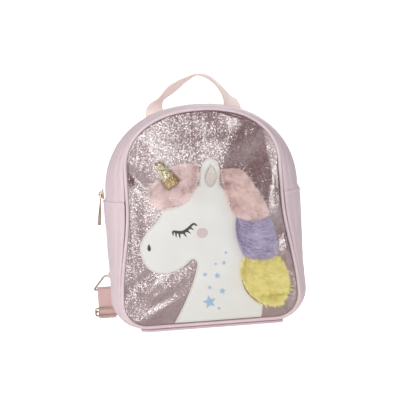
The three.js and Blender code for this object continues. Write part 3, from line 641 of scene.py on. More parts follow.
def in_panel(rim, column, share):
    """Places x, z at a share of the way from a panel's middle to its rim at a column."""
    columns, closed = np.append(rim_columns, ROUND), np.vstack([rim, rim[:1]])
    x, z = (np.interp(column, columns, closed[:, k]) for k in (0, 1))
    return x * share, PANEL_MIDDLE + (z - PANEL_MIDDLE) * share


def share_out(rim, x, z):
    """How far points are from a panel's middle, as a share of the way to its rim."""
    from_middle = rim - (0, PANEL_MIDDLE)
    edge = np.roll(rim, -1, 0) - rim
    whole = from_middle[:, 0] * edge[:, 1] - from_middle[:, 1] * edge[:, 0]
    share = np.zeros(len(x))
    for (wx, wz), area in zip(edge, whole):
        np.maximum(share, (x * wz - (z - PANEL_MIDDLE) * wx) / area, out=share)
    return np.minimum(1, share)


def creased(rows, x, z):
    """How deep the creases in rows go at places x, z."""
    depths = np.zeros(len(x))
    for middle_x, middle_z, length, width, turn, depth in rows:
        turned, dx, dz = math.radians(turn), x - middle_x, z - middle_z
        along = (dx * math.cos(turned) + dz * math.sin(turned)) / length
        off = (dz * math.cos(turned) - dx * math.sin(turned)) / width
        depths += depth * np.exp(-along ** 2 - off ** 2)
    return depths


def front_y(x, z):
    """The outer face of the glitter cloth at places x, z."""
    x, z = np.asarray(x, float), np.asarray(z, float)
    out = share_out(FRONT_RIM, x, z)
    face = FRONT_DEPTH - FRONT_CLOTH / 2 - FRONT_BULGE * (1 - out ** BULGE_POWER)
    return face + creased(CREASES, x, z) * (1 - out ** 6)


def front_place(u, v):
    share = u ** 0.8
    x, z = in_panel(FRONT_RIM, v * ROUND, share)
    near_top = np.exp((share - 1) * 8 - ((x - 6) / 34) ** 2) * (z > 180)
    drawn_in = 0.22 * np.sin(x / 2.1 + 2 * np.sin(x / 7)) * near_top * (1 - share ** 20)
    return np.stack([x, front_y(x, z) + creased(FOLDS, x, z) * (1 - share ** 120) + drawn_in, z], 1)


def panel(name, place, rings, thickness, around=320):
    """A panel of rings of points that close round a middle."""
    piece = edited(cloth(name, rings, around, place), weld)
    thicken(piece, thickness, 0.4)
    return piece


flakes, given, result = new_group(
    "glitter_flakes", {"Vector": "Vector", "Normal": "Vector", "Flake": "Float", "Tilt": "Float"},
    {"Shade": "Float", "Spark": "Float", "Normal": "Vector"})
cells = in_cells(flakes, given["Vector"], given["Flake"])
foil = node(flakes, "TexVoronoi", {"Vector": cells, "Scale": 1.0}, feature="F1").outputs["Color"]
lean = maths(flakes, "SUBTRACT", foil, (0.5, 0.5, 0.5), kind="VectorMath")
lean = node(flakes, "VectorMath", {0: lean, "Scale": given["Tilt"]}, operation="SCALE").outputs[0]
tilted = maths(flakes, "ADD", given["Normal"], lean, kind="VectorMath")
parts = node(flakes, "SeparateXYZ", {0: foil}).outputs
flakes.links.new(parts[0], result.inputs["Shade"])
flakes.links.new(ranged(flakes, parts[1], 0.8, 0.9), result.inputs["Spark"])
flakes.links.new(maths(flakes, "NORMALIZE", tilted, kind="VectorMath"), result.inputs["Normal"])


def glitter(name, dark, middle, bright, flake, tilt, metallic, polish, sheen=0.0):
    """Cloth covered with flakes under a clear coat: each has its own shade, tilt and polish, and glints
    white. Flakes too small to tell apart give the coat its sheen."""
    material, tree = new_finish(name, Metallic=metallic, IOR=polish, Coat_Weight=sheen, Coat_IOR=2.2,
                                Coat_Roughness=0.38)
    facing = node(tree, "NewGeometry").outputs["Normal"]
    foil = node(tree, "Group", {"Vector": place_in(tree), "Normal": facing, "Flake": flake, "Tilt": tilt},
                node_tree=flakes).outputs
    shades = node(tree, "ValToRGB", {0: foil["Shade"]})
    ramp = shades.color_ramp
    ramp.elements[0].color, ramp.elements[1].color = dark, bright
    ramp.elements.new(0.5).color = middle
    wire(tree, Base_Color=shades.outputs[0], Roughness=ranged(tree, foil["Spark"], 0.0, 1.0, 0.24, 0.13),
         Normal=foil["Normal"])
    return material


front = panel("glitter_front", front_place, 60, FRONT_CLOTH)
pink_glitter = glitter("pink_glitter", paint(88, 37, 40), paint(112, 54, 58), paint(146, 90, 95),
                       flake=0.0009, tilt=0.42, metallic=0.1, polish=2.75, sheen=0.85)
fit(front, pink_glitter, "glitter_cloth", "front_panel")

# Back and base: a flat leatherette back, and a stiff board wrapped in leatherette that the bag stands on.
# The back closes the shell behind the straps, and the board lies under the lower wall.
BACK_BULGE, BASE_SIZE, BASE_CORNER = 3, (160, 82, 2.9), 9


def back_y(x, z):
    out = share_out(BACK_RIM, np.asarray(x, float), np.asarray(z, float))
    return BACK_DEPTH + SHELL + BACK_BULGE * (1 - out ** BULGE_POWER)


def back_place(u, v):
    x, z = in_panel(BACK_RIM, (1 - v) * ROUND, u)
    points = np.stack([x, back_y(x, z), z], 1)
    points[:, 1] += 0.5 * waves(points, 34, 21) * (1 - u ** 4)
    return points


fit(panel("back_leather", back_place, 40, SHELL), pink_leather, "leatherette", "back_panel")
base = block("base_board", BASE_SIZE, (0, 0, BASE_SIZE[2] / 2))
select(base, "EDGE", lambda p: abs(p.z - BASE_SIZE[2] / 2 * MM) < 1e-5)
bpy.ops.mesh.bevel(offset=BASE_CORNER * MM, segments=8, affect="EDGES")
bpy.ops.object.mode_set(mode="OBJECT")
round_edges(base, 0.8, segments=3)
fit(base, pink_leather, "leatherette", "base_panel")

# Carrying loop: peach webbing, sewn flat to the back at both feet and twisted edge on over the middle.
HANDLE_WIDTH, WEBBING = 20, 1.6
# Route from the left foot to the right one: x, y, z, and the turn of the width from across in degrees.
HANDLE_ROUTE = np.array([
    (-46, 47.2, 224, 0), (-46, 47.7, 236, 0), (-45, 48.1, 242, 4), (-43, 47.8, 247.5, 30),
    (-40, 47.8, 252.5, 56), (-36.5, 47.6, 257, 66), (-30.5, 48, 262.3, 58), (-24.8, 48.2, 266.5, 48),
    (-16.5, 48.6, 271.7, 52), (-7, 48.8, 277, 62), (7, 49, 281.8, 74), (18, 48.8, 278.8, 75),
    (28, 48.4, 270.4, 76), (35.4, 48, 260.5, 70), (39.8, 48.1, 251.5, 56), (42.4, 48.3, 246, 24),
    (44.4, 48.1, 241, 4), (45, 47.7, 234, 0), (45, 47.2, 224, 0)])


def route(points, count):
    """A smooth line through points, with count steps shared evenly between their stretches."""
    points = np.asarray(points, float)
    whole = np.vstack([2 * points[0] - points[1], points, 2 * points[-1] - points[-2]])
    at = np.linspace(0, len(points) - 1, count + 1)
    i = np.minimum(at.astype(int), len(points) - 2)
    t = (at - i)[:, None]
    p = [whole[i + k] for k in range(4)]
    d = [np.maximum(np.linalg.norm((p[k + 1] - p[k])[:, :3], axis=1), 1e-6)[:, None] ** 0.5 for k in range(3)]
    start = ((p[1] - p[0]) / d[0] - (p[2] - p[0]) / (d[0] + d[1]) + (p[2] - p[1]) / d[1]) * d[1]
    end = ((p[2] - p[1]) / d[1] - (p[3] - p[1]) / (d[1] + d[2]) + (p[3] - p[2]) / d[2]) * d[1]
    return (p[1] + start * t + (3 * (p[2] - p[1]) - 2 * start - end) * t ** 2
            + (2 * (p[1] - p[2]) + start + end) * t ** 3)


def webbing(name, path, across, width, thickness, steps=10):
    """A flat band along a path of points, its width facing across at each of them."""
    ahead = unit(np.gradient(path, axis=0))
    wide = unit(across - ahead * np.sum(across * ahead, 1)[:, None])
    through = np.cross(ahead, wide)

    def place(u, v):
        i = np.rint(v * (len(path) - 1)).astype(int)
        return path[i] + wide[i] * ((u - 0.5) * width)[:, None] - through[i] * thickness / 2

    piece = cloth(name, steps, len(path) - 1, place)
    thicken(piece, thickness, 0.45, even=False)
    return piece


handle_path = route(HANDLE_ROUTE, 240)
handle_turn = np.radians(handle_path[:, 3])
handle_across = np.stack([np.cos(handle_turn), np.sin(handle_turn), 0 * handle_turn], 1)
handle = webbing("handle_webbing", handle_path[:, :3], handle_across, HANDLE_WIDTH, WEBBING)
# Painted light: the loop is the straps' webbing painted lighter and given a glow, a lit copy of it.
lit_loop_weave = weave("lit_loop_webbing", paint(250, 236, 231), paint(242, 220, 215), across=12, along=110,
                   depth=0.6, roughness=0.7, selvedge_and_edge_shade=paint(214, 180, 170), glow=0.21)
fit(handle, lit_loop_weave, "webbing", "handle")

# Shoulder straps: the same webbing, sewn to the top of the back, turned up at the bottom through a wire
# slider, and folded over the long side of a wire ring that a leatherette tab holds to the back.
STRAP_WIDTH, STRAP_ANCHOR, STRAP_FOOT, WIRE, SLACK = 20, 20, {"left": 115, "right": 90}, 1.1, 0.4
RING = {"y": 62, "z": 40, "half_base": 14, "half_top": 9, "rise": 17, "lean": 12, "skew": 8}
TRIGLIDE_Z, TRIGLIDE_PITCH, TRIGLIDE_HALF = 14.4, 4.3, 13.6
TAB_WIDTH, TAB_THICK, TAB_AT = 10, 1.4, 86
# The free webbing from the slider up to its anchor: share of the way across, distance behind, and height.
STRAP_ROUTE = [(0.1, 6, 30), (0.31, 17, 52), (0.38, 25, 90), (0.5, 28, 140), (0.72, 21, 185), (0.88, 7, 218),
               (0.97, -9, 234)]
# The slider's middle bar: share of its half width, and how far it stands behind its frame.
BAR_ROUTE = [(-1, 0), (-0.97, 0.8), (-0.93, 1.6), (-0.86, 2), (0, 2), (0.86, 2), (0.93, 1.6), (0.97, 0.8),
             (1, 0)]


def over_back(x, z, width):
    return np.max([back_y([x - width / 2], [z]), back_y([x + width / 2], [z])])


def quadratic(points, t):
    """Places at shares t of a bend from the first of three points to the last, towards the one between."""
    a, b, c = np.array(points, float)
    t = np.reshape(t, (-1, 1))
    return (1 - t) ** 2 * a + 2 * t * (1 - t) * b + t ** 2 * c


def rounded_loop(corners, reach, facets=8):
    """A closed path through corners that are rounded from a set distance before each to as far after it."""
    path = []
    for i, corner in enumerate(corners):
        before, after = (corner + (other - corner) / np.linalg.norm(other - corner) * reach
                         for other in (corners[i - 1], corners[(i + 1) % len(corners)]))
        path.append(quadratic((before, corner, after), np.linspace(0, 1, facets)))
    return np.vstack(path)


strap_weave = weave("strap_webbing", paint(234, 205, 201), paint(216, 181, 178), across=12, along=110,
                    depth=0.6, roughness=0.7, selvedge_and_edge_shade=paint(206, 170, 164))
for name, side in (("left", -1), ("right", 1)):
    x, top, off = side * STRAP_FOOT[name], side * STRAP_ANCHOR, WIRE + SLACK + WEBBING / 2
    near, rear = RING["y"] - off, RING["y"] + off
    low = TRIGLIDE_Z - TRIGLIDE_PITCH
    fold = [(x, RING["y"] + off * math.cos(a), RING["z"] + off * math.sin(a))
            for a in np.linspace(0, math.pi, 7)]
    sewn = {z: (top, over_back(top, z, STRAP_WIDTH) + GAP + WEBBING / 2, z) for z in (234, 226, 214, 200)}
    points = [(x, rear, RING["z"] - 9), *fold, (x, near, RING["z"] - 8), (x, near, TRIGLIDE_Z),
              (x, near, low + 0.5), (x, near + 0.8, low - 2.1), (x, RING["y"] + 0.3, low - 3.2),
              (x, rear, low - 1.6), (x, rear + 1.2, TRIGLIDE_Z)]
    points += [(x + (top - x) * share, rear + out, z) for share, out, z in STRAP_ROUTE]
    points += [(top, sewn[234][1] + 3, 235), sewn[226], sewn[214], sewn[200]]
    path = route(points, 26 * 12)
    strap = webbing(f"strap_webbing_{name}", path, np.tile([1.0, 0, 0], (len(path), 1)), STRAP_WIDTH, WEBBING)
    fit(strap, strap_weave, "webbing", f"strap_{name}")

    foot = np.array([x, RING["y"], RING["z"]])
    ring_top = foot + (-side * RING["skew"], -RING["lean"], RING["rise"])
    corners = [foot - (RING["half_base"], 0, 0), foot + (RING["half_base"], 0, 0),
               ring_top + (RING["half_top"], 0, 0), ring_top - (RING["half_top"], 0, 0)]
    ring = tube(f"ring_wire_{name}", rounded_loop(corners, 2.6), (0, RING["rise"], RING["lean"]), WIRE, True,
                around=12)
    fit(ring, rose, "rose_metal", f"strap_ring_{name}")
    corners = [np.array([x + a * TRIGLIDE_HALF, near - off, TRIGLIDE_Z + b * TRIGLIDE_PITCH])
               for a, b in ((-1, -1), (1, -1), (1, 1), (-1, 1))]
    hoop = tube(f"hoop_{name}", rounded_loop(corners, 2.4), (0, 1, 0), WIRE, True, around=12)
    bar_path = np.array([(x + a * TRIGLIDE_HALF, near - off + behind * off, TRIGLIDE_Z)
                         for a, behind in BAR_ROUTE])
    bar = tube(f"bar_{name}", bar_path, (0, 0, 1), WIRE, False, around=12)
    fit(join(f"slider_wire_{name}", hoop, bar), rose, "rose_metal", f"strap_slider_{name}")

    hold = WIRE + SLACK + TAB_THICK / 2
    flat = []
    for up, lift in ((28, GAP), (16, GAP), (14, 2 * GAP + TAB_THICK), (26, 2 * GAP + TAB_THICK)):
        z = ring_top[2] + up
        flat.append((side * TAB_AT, over_back(TAB_AT, z, TAB_WIDTH) + lift + TAB_THICK / 2, z))
    turn = [ring_top + (0, hold * math.cos(a), hold * math.sin(a)) for a in np.linspace(math.pi, math.tau, 7)]
    path = route([*flat[:2], *turn, *flat[2:]], 120)
    tab = webbing(f"tab_leather_{name}", path, np.tile([1.0, 0, 0], (len(path), 1)), TAB_WIDTH, TAB_THICK, 6)
    fit(tab, pink_leather, "leatherette", f"strap_tab_{name}")

# Head: white leatherette cut to a unicorn's head, sewn to the glitter cloth along its edge.
# Pale glitter cloth shows through an opening in the ear.
HEAD_LIFT, HEAD_THICK, HEAD_SEAM = 0.35, 1.5, 1.7
HEAD_START = (-77, 96)
# Edge from the nose, clockwise: each row bends towards its first point and ends at its second.
HEAD_EDGE = [((-73, 111), (-62, 119.5)), ((-53, 127), (-49, 136)), ((-46, 140), (-36, 140.5)),
             ((-24, 141), (-18, 153)), ((-14, 161), (-6, 162.5)), ((-6.5, 188), (7, 192.5)),
             ((20, 190), (18, 172)), ((16.5, 164), (17, 160.5)), ((25, 154), (26.5, 140)),
             ((28, 131), (33, 125)), ((28, 104), (40, 80)), ((31, 58), (38, 42)), ((44, 30), (57, 23)),
             ((56.5, 16), (55, 8.8)), ((5, 8.6), (-43.5, 8.8)), ((-22, 44), (-14.8, 71)),
             ((-13, 79.5), (-19.5, 80.5)), ((-31, 68), (-49, 65.5)), ((-75, 65), (-77, 96))]
EAR_START = (8.8, 183.5)
EAR_EDGE = [((-2.5, 170), (4.5, 161.5)), ((6.5, 159.8), (9, 161.8)), ((18, 171), (8.8, 183.5))]
EAR_FIT, EAR_LIFT, EAR_THICK = (1.05, 1.02), 1.4, 1.2
# Painted shade from the head's edge inwards: distance in centimetres, and colour. The tone is a little
# darker near the edge, and a thin darker line over the sewn ditch is painted shade.
EDGE_SHADE_TONES = [(0.12, (250, 247, 245)), (0.165, (230, 225, 221)), (0.2, (246, 244, 242)),
              (0.26, (255, 255, 255))]


def bent_line(start_point, rows, steps=24):
    """Points of a closed edge made of bent stretches."""
    line, here = [], start_point
    for bend, end in rows:
        line.append(quadratic((here, bend, end), np.linspace(0, 1, steps, endpoint=False)))
        here = end
    return np.vstack(line)


def inside(edge, x, z):
    """Whether places are inside a closed edge."""
    after = np.roll(edge, -1, 0)
    found = np.zeros(len(x), bool)
    for (ax, az), (bx, bz) in zip(edge, after):
        if az != bz:
            found ^= ((az > z) != (bz > z)) & (x < (bx - ax) * (z - az) / (bz - az) + ax)
    return found


def nearest(edge, x, z):
    """The nearest point of a closed edge to each place, and how far it is."""
    best, spot = np.full(len(x), 1e9), np.zeros((len(x), 2))
    for a, b in zip(edge, np.roll(edge, -1, 0)):
        way = b - a
        t = np.clip(((x - a[0]) * way[0] + (z - a[1]) * way[1]) / max(way @ way, 1e-12), 0, 1)
        px, pz = a[0] + t * way[0], a[1] + t * way[1]
        far = np.hypot(x - px, z - pz)
        closer = far < best
        best[closer] = far[closer]
        spot[closer] = np.stack([px, pz], 1)[closer]
    return spot, best


head_edge, ear_edge = bent_line(HEAD_START, HEAD_EDGE), bent_line(EAR_START, EAR_EDGE)


def lay_on_front(piece, lift):
    """Moves a flat mesh, its x and z in millimetres, onto the front at a height over the cloth."""
    x, z = points_of(piece)[:, :2].T
    put_points(piece, np.column_stack([x, front_y(x, z) - lift(x, z), z]) * MM)


def cut_out(name, edge, holes, pitch, lift):
    """A cut of sheet laid on the front: a grid trimmed to its edge and its holes, its border drawn onto them,
    then lifted."""
    low, high = edge.min(0) - 2, edge.max(0) + 2
    size = high - low
    piece = start(bpy.ops.mesh.primitive_grid_add, name, x_subdivisions=int(size[0] / pitch),
                  y_subdivisions=int(size[1] / pitch), size=1)
    flat = low + (points_of(piece)[:, :2] + 0.5) * size
    put_points(piece, np.column_stack([flat, np.zeros(len(flat))]))
    bpy.ops.object.mode_set(mode="EDIT")
    bpy.ops.mesh.select_mode(type="FACE")
    bpy.ops.mesh.select_all(action="DESELECT")
    bpy.ops.object.mode_set(mode="OBJECT")
    middles = np.array([face.center[:2] for face in piece.data.polygons])
    outside = ~inside(edge, *middles.T)
    for hole in holes:
        outside |= inside(hole, *middles.T)
    piece.data.polygons.foreach_set("select", outside)
    bpy.ops.object.mode_set(mode="EDIT")
    bpy.ops.mesh.delete(type="FACE")
    bpy.ops.mesh.select_mode(type="VERT")
    bpy.ops.mesh.select_all(action="DESELECT")
    bpy.ops.mesh.select_non_manifold()
    bpy.ops.object.mode_set(mode="OBJECT")
    border = np.zeros(len(piece.data.vertices), bool)
    piece.data.vertices.foreach_get("select", border)
    flat = points_of(piece)
    rough = flat[border, :2].T
    spots, far = nearest(edge, *rough)
    for hole in holes:
        other, other_far = nearest(hole, *rough)
        spots[other_far < far] = other[other_far < far]
    flat[border, :2] = spots
    put_points(piece, flat)
    piece.data.vertices.foreach_set("select", ~border)
    bpy.ops.object.mode_set(mode="EDIT")
    bpy.ops.mesh.vertices_smooth(factor=0.5, repeat=4)
    bpy.ops.object.mode_set(mode="OBJECT")
    lay_on_front(piece, lift)
    return piece


def head_lift(x, z):
    """Height of the head's face over the cloth: rounded down at the edge, with a sewn ditch inside it."""
    far = np.minimum(nearest(head_edge, x, z)[1], nearest(ear_edge, x, z)[1] + 1.2)
    return HEAD_LIFT + HEAD_THICK + 0.5 * (1 - np.exp(-far / 5)) - 0.4 * hump(far - HEAD_SEAM, 0.7)


head = cut_out("head_leather", head_edge, [ear_edge], 1.0, head_lift)
thicken(head, HEAD_THICK, 0.3)


def map_edges(piece, *edges):
    """The piece's own map: across is how far each point is from the nearest of its edges, in centimetres."""
    spots = points_of(piece) / MM
    far = np.min([nearest(edge, spots[:, 0], spots[:, 2])[1] for edge in edges], axis=0)
    corner = np.empty(len(piece.data.loops), np.int32)
    piece.data.loops.foreach_get("vertex_index", corner)
    own_map = np.column_stack([far[corner] / 10, np.zeros(len(corner))])
    piece.data.uv_layers[0].data.foreach_set("uv", own_map.ravel())


def colour_of(tree):
    return tree.nodes["Principled BSDF"].inputs["Base Color"].links[0].from_socket


map_edges(head, head_edge, ear_edge)
white_leather = leather("white_leatherette", paint(236, 235, 231), paint(226, 224, 219), pebble=0.0010,
                        depth=0.16, roughness=0.42)
white_tree = white_leather.node_tree
# Painted shade: the leatherette is multiplied by these tones, darkest in a line over the sewn ditch.
edge_shade_ramp = node(white_tree, "ValToRGB", {0: map_in(white_tree)[0]})
for far, tone in EDGE_SHADE_TONES:
    edge_shade_ramp.color_ramp.elements.new(far).color = paint(*tone)
edge_shade_ramp.color_ramp.elements[0].color = paint(250, 246, 243)
hide_with_edge_shade = node(white_tree, "Mix", {0: 1.0, 6: colour_of(white_tree), 7: edge_shade_ramp.outputs[0]},
                 data_type="RGBA", blend_type="MULTIPLY")
wire(white_tree, Base_Color=hide_with_edge_shade.outputs[2])
fit(head, white_leather, "white_leatherette", "head")

ear_middle = np.mean([end for _, end in EAR_EDGE], axis=0)
ear = cut_out("ear_cloth", ear_middle + (ear_edge - ear_middle) * EAR_FIT, [], 0.35,
              lambda x, z: HEAD_LIFT + EAR_LIFT)
thicken(ear, EAR_THICK, 0.15)
ear_glitter = glitter("ear_glitter", paint(206, 192, 184), paint(220, 208, 200), paint(234, 224, 217),
                      flake=0.0009, tilt=0.2, metallic=0.0, polish=1.5)
fit(ear, ear_glitter, "ear_cloth", "ear_inside")

# Prints on the head: a closed eye with lashes, a cheek, a nostril and a fall of stars.
# Each is a thin film of ink that follows the leatherette.
INK_LIFT, INK_THICK = 0.1, 0.06
# The lid from the nose's side back, and the lashes: each one's step along the lid, and its length.
LID, LID_STEPS = [(-38.7, 113.2, 0), (-27.6, 111.6, 0), (-15.3, 120.4, 0)], 20
LASHES = [(0, 5.6), (3, 7.0), (6, 7.6), (10, 7.4), (13, 6.8), (16, 6.0), (20, 5.6)]
LASH_HALF = 1.25
NOSTRIL, CHEEK = (-66, 96.3), (-6.2, 109.3)
# Stars: middle x and z, radius, and turn in degrees.
STARS = [(-2.8, 30.8, 8.0, 10), (12.2, 42.3, 4.2, -8), (-1.7, 47.2, 2.8, 20), (7.5, 60.1, 4.0, 4),
         (-6, 62.4, 3.0, -14), (6.3, 73.4, 2.0, 12), (15.7, 74.1, 3.0, -6), (18.5, 85.3, 2.3, 16),
         (7.3, 22.7, 2.3, 0)]


def film(name, shapes, ink, colour, worn):
    """Flat shapes of ink laid on the head."""
    pieces = []
    for shape in shapes:
        piece = start(bpy.ops.mesh.primitive_circle_add, name, vertices=len(shape), fill_type="NGON")
        put_points(piece, np.column_stack([shape, np.zeros(len(shape))]))
        edited(piece, lambda: bpy.ops.mesh.quads_convert_to_tris(ngon_method="BEAUTY"),
               lambda: bpy.ops.mesh.subdivide(number_cuts=1))
        lay_on_front(piece, lambda x, z: head_lift(x, z) + INK_LIFT)
        pieces.append(piece)
    piece = edited(join(name, *pieces), outward)
    if piece.data.polygons[0].normal.y > 0:
        piece.data.flip_normals()
    thicken(piece, INK_THICK, even=False)
    fit(piece, speckled(ink, colour, worn, scale=700.0, roughness=0.6), "white_leatherette")


def star(x, z, radius, turn):
    angles = np.radians(turn + 90 + 36 * np.arange(10))
    reach = np.where(np.arange(10) % 2, 0.45, 1.0) * radius
    return np.column_stack([x + reach * np.cos(angles), z + reach * np.sin(angles)])


lid = route(LID, LID_STEPS)[:, :2]
lid_way = np.gradient(lid, axis=0)
lid_side = unit(np.column_stack([-lid_way[:, 1], lid_way[:, 0]]))
lid_half = (1.0 + 0.8 * np.sin(np.linspace(0, np.pi, LID_STEPS + 1)))[:, None]
eye_shapes = [np.vstack([lid + lid_side * lid_half, (lid - lid_side * lid_half)[::-1]])]
for step, reach in LASHES:
    out = -lid_side[step] + np.array([0.42, 0]) * (step / LID_STEPS) + np.array([0.18, 0])
    out = out / np.linalg.norm(out)
    wide = np.array([-out[1], out[0]])
    root, middle, tip = lid[step], lid[step] + out * reach * 0.6, lid[step] + out * reach
    eye_shapes.append(np.array([root + wide * LASH_HALF, middle + wide * 0.8, tip, middle - wide * 0.75,
                                root - wide * LASH_HALF]))
film("eye_print", eye_shapes, "dark_ink", paint(60, 56, 56), paint(78, 74, 74))
round_turn = np.linspace(0, math.tau, 40, endpoint=False)
drop = np.column_stack([2.3 * np.sin(round_turn) * np.sqrt((1 + np.cos(round_turn)) / 2 + 0.12),
                        -4.0 * np.cos(round_turn)])
film("nostril_print", [drop + NOSTRIL], "nostril_ink", paint(58, 54, 54), paint(76, 72, 72))
oval = np.column_stack([6.2 * np.cos(round_turn), 5.6 * np.sin(round_turn)])
film("cheek_print", [oval + CHEEK], "blush_ink", paint(218, 201, 198), paint(206, 187, 184))
film("star_print", [star(*row) for row in STARS], "blue_ink", paint(154, 182, 213), paint(174, 196, 220))

# Horn: a padded wedge of gold glitter cloth, wound with two sewn grooves, lying on the forelock.
# The third at its foot has one plain, darker gold in place of the flakes' shades.
HORN_BASE, HORN_TIP = np.array([-33.8, 164.0]), np.array([-51.5, 190.5])
HORN_HALF, HORN_THICK, HORN_FOOT_LIFT, LAID = (8.8, 5.2), (3.0, 2.0), 4.0, 0.8
HORN_LONG = np.linalg.norm(HORN_TIP - HORN_BASE)
HORN_WAY = (HORN_TIP - HORN_BASE) / HORN_LONG


def tapered(ends, t):
    return ends[0] + (ends[1] - ends[0]) * t


def horn_place(u, v):
    """Once round at each height: a rounded section that closes quickly to a blunt tip and a cut foot."""
    angle = u * math.tau
    close = np.clip(v / 0.035, 0, 1) ** 0.4 * np.clip((1 - v) / 0.09, 0, 1) ** 0.45
    wound = hump(v - 0.7 - 0.09 * np.cos(angle), 0.022) + 0.4 * hump(v - 0.34, 0.018)
    across = tapered(HORN_HALF, v) * close * (1 - 0.08 * wound) * np.cos(angle)
    thick = tapered(HORN_THICK, v) * close * (1 - 0.35 * wound) * np.sin(angle)
    x, z = (HORN_BASE + (HORN_TIP - HORN_BASE) * v[:, None]).T
    lift = LAID + tapered(HORN_THICK, v) + HORN_FOOT_LIFT * (1 - v)
    return np.column_stack([x - HORN_WAY[1] * across, front_y(x, z) - lift - thick, z + HORN_WAY[0] * across])


horn = edited(cloth("horn_padded", 36, 60, horn_place), weld, outward)
gold = glitter("gold_glitter", paint(128, 110, 74), paint(186, 168, 128), paint(248, 242, 226), flake=0.0009,
               tilt=0.45, metallic=0.3, polish=1.9)
gold_tree = gold.node_tree
gold_share = ranged(gold_tree, map_in(gold_tree)[1], 0.3, 0.37)
wire(gold_tree, Base_Color=blend(gold_tree, gold_share, paint(168, 144, 95), colour_of(gold_tree)))
fit(horn, gold, "gold_cloth", "horn")

# Plush: four tufts of soft pile on a knitted backing, combed away from the head and sewn in along its edge.
# Each is a crowned pad covered with tapered bent hairs that gather into locks, with a loose fringe around it.
SOFT = dict(
    height=8.5, hair=8.5, fringe=12.5,  # of the pad, and of the longest hairs in the pile and the fringe
    sway=0.5, gather=0.26, stray=0.3,  # how far hairs wander from the comb, into locks, and each by itself
    lines=0, bow=(0, 0), drape=0.0,  # wavy lines along the comb, bow of the two ends, fall of the last one
    blotch=0.4,  # how uneven the shade is
    partings=[], streamers=[])  # where the pile parts and the fringe is long, measured as creases are
TUFTS = {
    "forelock": dict(
        SOFT, root=[(-7.5, 184), (-6, 164), (-22, 148)], tip=[(-31, 183), (-74, 156), (-50, 143)], seed=11,
        slot="plush_pink", root_colour=paint(206, 171, 168), tip_colour=paint(246, 230, 228), height=8.0,
        fringe=13.5, partings=[(-60, 158, 12, 2.0, 40, 0.5)]),
    "mane_pink": dict(
        SOFT, root=[(20, 176), (23, 152), (33, 128)], tip=[(38, 175), (55, 157), (67, 126)], seed=12,
        slot="plush_pink", root_colour=paint(199, 159, 156), tip_colour=paint(240, 220, 216), fringe=12.0,
        gather=0.28, bow=(0, 5.5), drape=1.2, partings=[(25, 163, 7, 1.6, 4, 0.9)]),
    "mane_lilac": dict(
        SOFT, root=[(34, 124), (28.5, 104), (39, 81)], tip=[(68, 121), (75, 102), (74, 79)], seed=13,
        slot="plush_lilac", root_colour=paint(142, 126, 163), tip_colour=paint(214, 205, 226), hair=7.0,
        fringe=9.0, sway=0.15, gather=0.12, stray=0.1, lines=13, bow=(5.5, 4), blotch=0.3, drape=1.2),
    "mane_yellow": dict(
        SOFT, root=[(40, 78), (27, 51), (55, 29.5)], tip=[(77, 74), (93, 39), (74, 25)], seed=14,
        slot="plush_yellow", root_colour=paint(220, 203, 114), tip_colour=paint(245, 237, 172), height=9.0,
        hair=9.5, bow=(4, 0), blotch=0.22, partings=[(69, 34.5, 13, 1.1, 3, 0.9)],
        streamers=[(88, 39, 9, 5.0, 0, 1.25)]),
}
PILE_HAIRS, FRINGE_HAIRS, LOCKS, WISPS, HAIR_HALF = 12000, 6000, 260, 600, 0.155
PAD_ACROSS, PAD_DOWN = 48, 60
# A hair has three points at its root, three at its bend and one at its tip: how far along it they are mapped.
HAIR_ALONG = [0.0] * 3 + [0.6] * 3 + [1.0]
HAIR_FACES = np.array([(0, 1, 4), (0, 4, 3), (1, 2, 5), (1, 5, 4), (2, 0, 3), (2, 3, 5), (3, 4, 6),
                       (4, 5, 6), (5, 3, 6), (2, 1, 0)])


def carrier_y(x, z):
    """The face of what lies under the plush: the glitter cloth, or the head's leatherette."""
    return front_y(x, z) - np.where(inside(head_edge, x, z), HEAD_LIFT + HEAD_THICK + 0.7, 0.4)


def horn_room(x, z):
    """How far places are from the horn's footprint, and how high over the cloth its underside is there."""
    dx, dz = x - HORN_BASE[0], z - HORN_BASE[1]
    along = (dx * HORN_WAY[0] + dz * HORN_WAY[1]) / HORN_LONG
    t = np.clip(along, 0, 1)
    past = np.abs(along - t) * HORN_LONG
    aside = np.maximum(np.abs(dx * HORN_WAY[1] - dz * HORN_WAY[0]) - tapered(HORN_HALF, t), 0)
    return np.hypot(past, aside), LAID + HORN_FOOT_LIFT * (1 - t)


def plush_finish(name, root_colour, tip_colour):
    """Pile on its own map: across is each hair's shade, its own tone with painted shade in the partings and
    painted light on the fringe, and along goes from root to tip. Light that wanders from hair to hair inside
    the pile is painted as a faint glow of the pile's own colour."""
    material, tree = new_finish(name, Roughness=0.8, Sheen_Weight=0.3, Specular_IOR_Level=0.1,
                                Emission_Strength=0.14)
    parts = map_in(tree)
    along = ranged(tree, parts[1], 0.0, 0.8, interpolation_type="SMOOTHSTEP")
    own = node(tree, "HueSaturation", {
        "Color": blend(tree, along, root_colour, tip_colour),
        "Value": ranged(tree, parts[0], 0.0, 1.0, 0.7, 1.12),
        "Saturation": ranged(tree, parts[0], 0.0, 1.0, 1.3, 0.75)}).outputs[0]
    wire(tree, Base_Color=own, Emission_Color=own)
    return material


